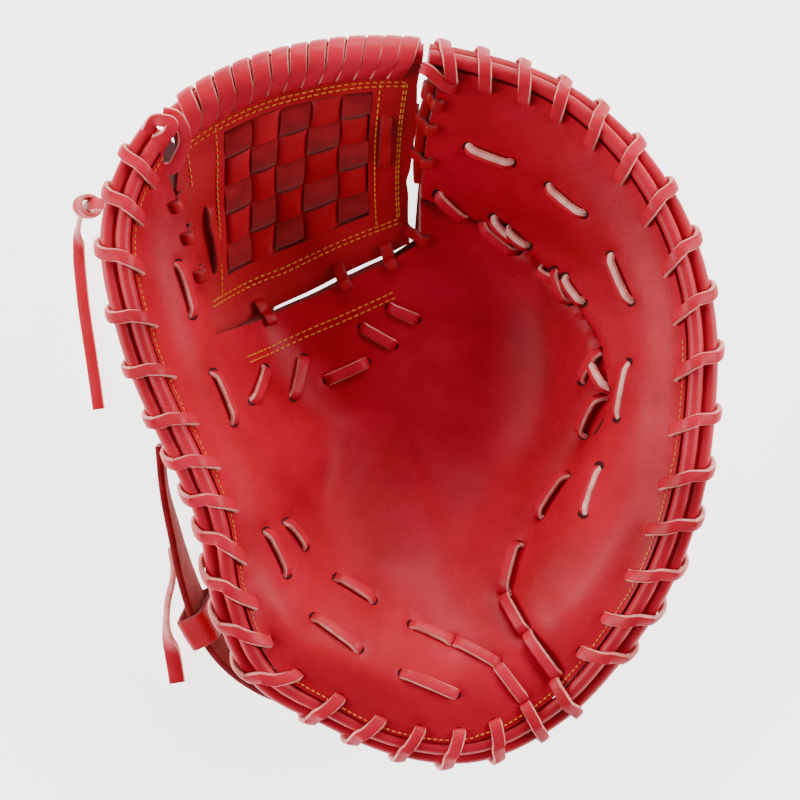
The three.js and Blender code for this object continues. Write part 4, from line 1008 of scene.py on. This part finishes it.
def weave_piece(line, is_slat):
    """One strip of the web's window, over and under its neighbours by turns."""
    long, cross = (window_sides, window_ends) if is_slat else (window_ends, window_sides)
    step = (long[1] - long[0]) / weave_count
    cross_step = (cross[1] - cross[0]) / weave_count
    middle = cross[0] + (line + 0.5) * cross_step
    hidden = web_leather + 2 * seat_gap + weave_leather / 2
    shares, depths = [long[0] - 0.05, long[0] - 0.01], [hidden, hidden]
    for k in range(weave_count):
        over = (line + k) % 2 == (1 if is_slat else 0)
        depth = web_leather / 2 + (-weave_lift if over else weave_lift)
        shares += [long[0] + (k + share) * step for share in weave_crossing]
        depths += [depth, depth + weave_puff[over], depth]
    shares += [long[1] + 0.01, long[1] + 0.05]
    depths += [hidden, hidden]
    # Shares count as hundredths, so that the curve has them in proportion to the depths
    path = smooth_path(np.stack([np.array(shares) * 100, np.array(depths)], -1), 6)
    along, depth = path[:, 0] / 100, path[:, 1]
    half = weave_half * cross_step
    sides = np.linspace(-1, 1, 9)
    a = along[:, None] + 0 * sides[None]
    b = middle + half * sides[None] + 0 * along[:, None]
    crown = weave_crown * (sides**2)[None]
    if not is_slat:
        a, b = b, a
    front = web_point(a, b, depth[:, None] - weave_leather / 2 + crown)[0]
    back = web_point(a, b, depth[:, None] + weave_leather / 2 + crown)[0]
    kind = "slat" if is_slat else "strip"
    face = web_hide if is_slat else web_nap
    piece = panel(f"woven_{kind}_{line + 1}", front, back, [face, web_nap, hide_edge])
    slot = "web_leather" if is_slat else "rough_strips"
    stands_for(piece, slot, f"web_{kind}_{line + 1}")


def binding_frame(a):
    rim = rim_frame(web_top[0] + (web_top[1] - web_top[0]) * a)
    top = web_point(a, 0.0, web_leather / 2)[0]
    rim["centre"] = top + rim["rise"] * (binding_diameter / 2 + seat_gap)
    return rim


def wrap_stop(place, a):
    """A stop of the lace round the binding, looking away from the middle of what it holds."""
    rim = binding_frame(a)
    return place, place - (rim["centre"] - rim["rise"] * web_hole_depth / 3)


# Of a turn's way along the binding: how much it has done before it is over it, and how much it does
wrap_lead, wrap_slant = 0.4, 0.55


def wrap_turn(start, pitch, drop):
    """Stops of one turn: up through the web, over the binding and back behind the web."""
    hole, normal = web_point(start, drop)
    stops = [wrap_stop(hole + normal * off, start) for off in (-web_leather - lift, -web_leather / 2, lift)]
    rim = binding_frame(start)
    ways = turned(rim["inward"], -rim["inward"], rim["along"])
    for i, way in enumerate(ways):
        a = start + (wrap_lead + wrap_slant * i / (len(ways) - 1)) * pitch
        clear = binding_diameter / 2 + lift + binding_clearance
        stops.append(wrap_stop(binding_frame(a)["centre"] + way * clear, a))
    hole, normal = web_point(start + pitch, drop)
    stops.append(wrap_stop(hole - normal * (web_leather + lift), start + pitch))
    return stops


def binding_pieces():
    centre = np.stack([binding_frame(a)["centre"] for a in np.linspace(0, 1, 90)])
    roll = round_tube("web_binding_roll", centre, binding_diameter / 2, [welt_hide], sides=24)
    stands_for(roll, "web_leather", "web_binding")
    tall = np.linalg.norm(web_point(0.5, 0.0)[0] - web_point(0.5, 1.0)[0])
    start, end = binding_lace_ends
    pitch = (end - start) / binding_turns
    parts = []
    for k in range(binding_turns):
        stops = wrap_turn(start + k * pitch, pitch, web_hole_depth / tall)
        width = lace_width + binding_lace_more + random.uniform(-0.2, 0.3)
        parts.append(ribbon_mesh(stops, width, lace_thickness, 4))
    stands_for(lace_piece("web_binding_lace", parts), "lace_leather", "web_wrap")


def edge_place(count):
    index = np.arange(len(palm_edge))
    x = np.interp(count, index, palm_edge[:, 1]) * mitt_width
    y = np.interp(count, index, palm_edge[:, 2]) * mitt_length
    return x, y


def web_ties(name, node, ties):
    """Short laces that come up through the web, over the palm's edge and down through the palm."""
    deep = palm_thickness + web_setback + web_leather + lift
    web_below = palm_thickness + web_setback
    parts = []
    for edge, a, b in ties:
        x, y = edge_place(edge)
        seat = web_point(a, b)[0]
        inward = unit(np.array([x - seat[0], y - seat[1], 0.0]))
        outward = -inward
        above_web, loop_normal = face_point(x + tie_reach * outward[0], y + tie_reach * outward[1])
        loop = above_web - loop_normal * web_below
        lip, lip_normal = face_point(x + 0.3 * inward[0], y + 0.3 * inward[1])
        hole, hole_normal = face_point(x + edge_hole_inset * inward[0], y + edge_hole_inset * inward[1])
        past = lift + 0.6
        stops = [
            (loop - loop_normal * (web_leather + 2 * lift), outward),
            (loop + loop_normal * lift, loop_normal + outward),
            (lip - lip_normal * palm_thickness / 2 + outward * past, lip_normal + outward),
            (lip + lip_normal * (lift + 0.3) + outward * lace_thickness / 3, lip_normal + 0.4 * outward),
            (hole + hole_normal * (lift + 0.2), hole_normal + 0.8 * inward),
            (hole - hole_normal * 2, inward),
            (hole - hole_normal * deep, inward),
        ]
        parts.append(ribbon_mesh(stops, lace_width, lace_thickness * 0.9, 5))
    stands_for(lace_piece(name, parts, shaded_web_lace_materials), "lace_leather", node)


def one_lace(name, stops, width, materials):
    parts = [ribbon_mesh(stops, width, lace_thickness, 6)]
    stands_for(lace_piece(name, parts, materials), "lace_leather")


def laid_lace(name, places, width, materials):
    """A short lace over the mitt's face, from places with its height over the leather."""
    stops = []
    for x, y, height in places:
        point, normal = face_point(x, y)
        angle = math.degrees(math.atan2(y / mitt_length, x / mitt_width))
        point[2] = min(point[2], float(rim_place(angle)[2]) + welt_diameter / 2)
        steeper = unit(normal + 1.5 * straight_up)
        stops.append((point + steeper * height, steeper))
    one_lace(name, stops, width, materials)


def corner_laces():
    """The laces knotted where the web meets the thumb's tip and the finger tips, and on the web."""
    laid_lace("thumb_tip_loop", tip_loop, lace_width, lace_materials)
    laid_lace("thumb_tip_crossing", tip_crossing, lace_width, lace_materials)
    laid_lace("finger_corner_lace", finger_corner, lace_width, lace_materials)
    laid_lace("web_gap_lace", gap_lace, lace_width - gap_lace_less, shaded_web_lace_materials)
    for name, line, lean in (("web_bar_lace", web_bar, 0.0), ("web_side_lace", web_side_loop, 0.5)):
        stops = []
        for a, b, height in line:
            point, normal = web_point(a, b)
            stops.append((point + normal * height, normal + np.array([lean, 0, 0])))
        one_lace(name, stops, lace_width - web_lace_less, shaded_web_lace_materials)


# Wrist strap and loose laces
def route_places(route):
    """A route's points in mm, from shares of the mitt's width, length and depth."""
    return np.array([row[:3] for row in route]) * (mitt_width, mitt_length, mitt_depth)


def strap_stops():
    places = route_places(strap_route)
    stops = []
    for i, (place, row) in enumerate(zip(places, strap_route)):
        along = unit(places[min(i + 1, len(places) - 1)] - places[max(i - 1, 0)])
        side = unit(np.cross(along, straight_up))
        turn = math.radians(row[3])
        stops.append((place, -side * math.cos(turn) + straight_up * math.sin(turn)))
    return stops


def strap_pieces():
    stops = strap_stops()
    parts = [ribbon_mesh(stops, strap_width, strap_thickness, 12)]
    strap = lace_piece("wrist_strap_leather", parts, [strap_flesh, hide_edge, strap_hide])
    stands_for(strap, "red_leather", "wrist_strap")
    along = unit(stops[keeper_place + 1][0] - stops[keeper_place - 1][0])
    point, face = stops[keeper_place]
    outward = unit(face - along * np.dot(face, along))
    side = np.cross(outward, along)
    half_w = strap_width / 2 + keeper_side_room + keeper_wall / 2
    half_t = strap_thickness / 2 + keeper_room + keeper_wall / 2
    cos, sin = (way(np.linspace(0, 2 * np.pi, 61)[:-1])[:, None] for way in (np.cos, np.sin))
    x = half_w * np.sign(cos) * np.abs(cos) ** keeper_roundness
    y = half_t * np.sign(sin) * np.abs(sin) ** keeper_roundness
    loop = point + x * side + y * outward
    centre = np.concatenate([loop, loop[:2]])
    looks = np.cross(unit(np.gradient(centre, axis=0)), along)
    looks = looks * np.sign((looks * (centre - point)).sum(1))[:, None]
    parts = [ribbon_mesh(list(zip(centre, looks)), keeper_length, keeper_wall, 2)]
    keeper = lace_piece("strap_keeper_loop", parts, [strap_hide, hide_edge, strap_flesh])
    stands_for(keeper, "red_leather", "strap_keeper")


def loose_lace(name, node, route, face, width, thickness):
    """A loose lace that hangs on edge and turns to lie flat where it comes down to the floor."""
    places = route_places(route)
    outward = unit(np.array(face, float))
    stops = []
    for place in places:
        lying = 1 - min(place[2] / (3 * width), 1)
        stops.append((place, outward * (1 - lying) + straight_up * (lying + 0.05)))
    piece = lace_piece(name, [ribbon_mesh(stops, width, thickness, 5)])
    stands_for(piece, "lace_leather", node)
    return piece, to_row(smooth_path(places, 5)), places


def loose_pieces():
    tail, tail_path, places = loose_lace(
        "thumb_lace_end", "thumb_lace_tail", thumb_tail_route, thumb_tail_face, lace_width, lace_thickness,
    )
    along = unit(places[knot_place + 1] - places[knot_place - 1])
    side = unit(np.cross(along, np.array([0.3, 1.0, 0])))
    other = np.cross(along, side)
    parts = []
    for tilt, shift, size in knot_turns:
        loop = []
        for turn in np.linspace(0, 2 * np.pi, 15):
            far_side = math.cos(turn) * knot_reach[0]
            out = side * far_side + other * math.sin(turn) * knot_reach[1]
            loop.append((places[knot_place] + along * (shift + tilt * far_side) + out * size, out))
        parts.append(ribbon_mesh(loop, knot_width, knot_thickness, 2))
    knot = stands_for(lace_piece("thumb_lace_knot", parts), "lace_leather", "thumb_knot")
    tongue, tongue_path, _ = loose_lace(
        "adjuster_tongue", "adjuster_tail", tongue_route, tongue_face, tongue_width, tongue_thickness,
    )


# Sewing: along a thread, share of its length, share of its thickness and height in mm
thread_rings = ((-0.5, 0.45, -0.35), (-0.3, 1, 0.1), (0.3, 1, 0.1), (0.5, 0.45, -0.35))


def stitch_row(path, normal, pitch=3.0, length=2.3, radius=0.34):
    """Short threads along a path, sunk at their ends."""
    count = max(2, int(path_length(path) / pitch))
    shares = (np.arange(count) + 0.5) / count
    both = np.concatenate([path, normal], 1)
    middle = even_path(both, shares)
    ahead = even_path(both, np.minimum(shares + 0.002, 1))
    behind = even_path(both, np.maximum(shares - 0.002, 0))
    along = unit(ahead[:, :3] - behind[:, :3])
    faces = []
    for start in (0, 6, 12):
        for k in range(6):
            a, b = start + k, start + (k + 1) % 6
            faces.append([a, b, b + 6, a + 6])
    faces += [[5, 4, 3, 2, 1, 0], [18, 19, 20, 21, 22, 23]]
    parts = []
    for centre, way in zip(middle, along):
        face = unit(centre[3:])
        side = np.cross(way, face)
        points = []
        for share, swell, height in thread_rings:
            spot = centre[:3] + way * share * length + face * height
            for turn in np.arange(6) * np.pi / 3:
                points.append(spot + radius * swell * (side * math.cos(turn) + face * math.sin(turn)))
        parts.append((np.array(points), faces, [0] * len(faces)))
    return parts


def web_row(a0, b0, a1, b1):
    share = np.linspace(0, 1, 60)
    point, normal = web_point(a0 + (a1 - a0) * share, b0 + (b1 - b0) * share)
    return stitch_row(point + normal * 0.25, normal)


def seam_pieces():
    web_rows = []
    for a0, b0, a1, b1 in web_seams:
        web_rows += web_row(a0, b0, a1, b1)
    points, faces, slots = join_meshes(web_rows)
    stands_for(make_piece("web_stitches", points, faces, [seam_thread], slots), "web_leather")
    palm_rows = []
    line = smooth_path(palm_seam, 12)
    for shift in (-palm_seam_half, palm_seam_half):
        along = unit(np.gradient(line, axis=0))
        x = line[:, 0] - along[:, 1] * shift
        y = line[:, 1] + along[:, 0] * shift
        point, normal = face_point(x, y)
        lifted = point + normal * (palm_relief(x, y) + 0.2)[:, None]
        palm_rows += stitch_row(lifted, normal)
    for first, last in rim_seams:
        sewn = [palm_below_rim(angle, rim_seam_inset) for angle in np.linspace(first, last, 130)]
        point, normal = (np.stack(v) for v in zip(*sewn))
        palm_rows += stitch_row(point + normal * 0.2, normal, pitch=2.6, length=1.9, radius=0.3)
    points, faces, slots = join_meshes(palm_rows)
    stands_for(make_piece("palm_stitches", points, faces, [seam_thread], slots), "red_leather")


# Stage: a pale floor that lights itself, three soft lights round the mitt, and a pale room. Each
# light's place in metres, power in watts and size in metres
floor_half = 3.0
lights = (
    ("left_light", (-1.5, -0.1, 0.75), 38.0, 1.1), ("top_light", (0.1, 1.6, 0.95), 40.0, 1.1),
    ("right_light", (1.5, 0.2, 0.85), 34.0, 0.9),
)
lit_place = Vector((0, 0, 0.06))


def stage():
    mesh = bpy.data.meshes.new("studio_floor")
    corners = [(x * floor_half, y * floor_half, 0) for x, y in ((-1, -1), (1, -1), (1, 1), (-1, 1))]
    mesh.from_pydata(corners, [], [(0, 1, 2, 3)])
    material, tree = empty_material("pale_floor")
    shader = surface(tree, {})
    shader.inputs["Base Color"].default_value = linear("#ffffff")
    shader.inputs["Roughness"].default_value = 0.9
    shader.inputs["Emission Color"].default_value = linear("#ffffff")
    shader.inputs["Emission Strength"].default_value = 2.6
    mesh.materials.append(material)
    floor = bpy.data.objects.new("studio_floor", mesh)
    bpy.context.scene.collection.objects.link(floor)
    for name, place, power, size in lights:
        data = bpy.data.lights.new(name, "AREA")
        data.energy = power
        data.size = size
        light = bpy.data.objects.new(name, data)
        light.location = place
        light.rotation_euler = (lit_place - Vector(place)).to_track_quat("-Z", "Y").to_euler()
        bpy.context.scene.collection.objects.link(light)
    world = bpy.data.worlds.new("pale_room")
    world.use_nodes = True
    background = world.node_tree.nodes["Background"]
    background.inputs["Color"].default_value = linear("#ffffff")
    background.inputs["Strength"].default_value = 0.3
    bpy.context.scene.world = world


def camera():
    data = bpy.data.cameras.new("photo_view")
    data.sensor_width = camera_sensor
    data.lens = camera_sensor * view_height / view_width
    data.dof.use_dof = False
    made = bpy.data.objects.new("photo_view", data)
    made.location = (view_centre + pocket_centre + Vector((0, 0, view_height))) * mm
    bpy.context.scene.collection.objects.link(made)
    bpy.context.scene.camera = made


stage()
camera()
loose_pieces()
palm_piece()
split_shade_strip()
back_piece("thumb_back_leather", "thumb_back", thumb_tip, thumb_back_end)
back_piece("finger_back_leather", "finger_back", finger_back_start, finger_tip)
welt_piece("palm_side_welt", "palm_welt")
welt_piece("back_side_welt", "back_welt")
rim_lace("thumb_rim_lace", "rim_lace_thumb", thumb_loops, True)
rim_lace("heel_rim_lace", "rim_lace_heel", heel_loops, False)
rim_lace("finger_rim_lace", "rim_lace_fingers", finger_loops, True)
rim_lace("tip_rim_lace", "rim_lace_tips", tip_loops, True)
short_laces("palm_laces", palm_stitches, lift)
short_laces("split_laces", split_stitches, lift * 1.6, "split_lace")
paint_hole_shade()
web_frame_piece()
for line in range(weave_count):
    weave_piece(line, True)
    weave_piece(line, False)
binding_pieces()
web_ties("finger_side_web_lace", "web_lace_finger_side", finger_side_ties)
web_ties("thumb_side_web_lace", "web_lace_thumb_side", thumb_side_ties)
web_ties("crotch_web_lace", "web_lace_crotch", crotch_ties)
corner_laces()
strap_pieces()
seam_pieces()
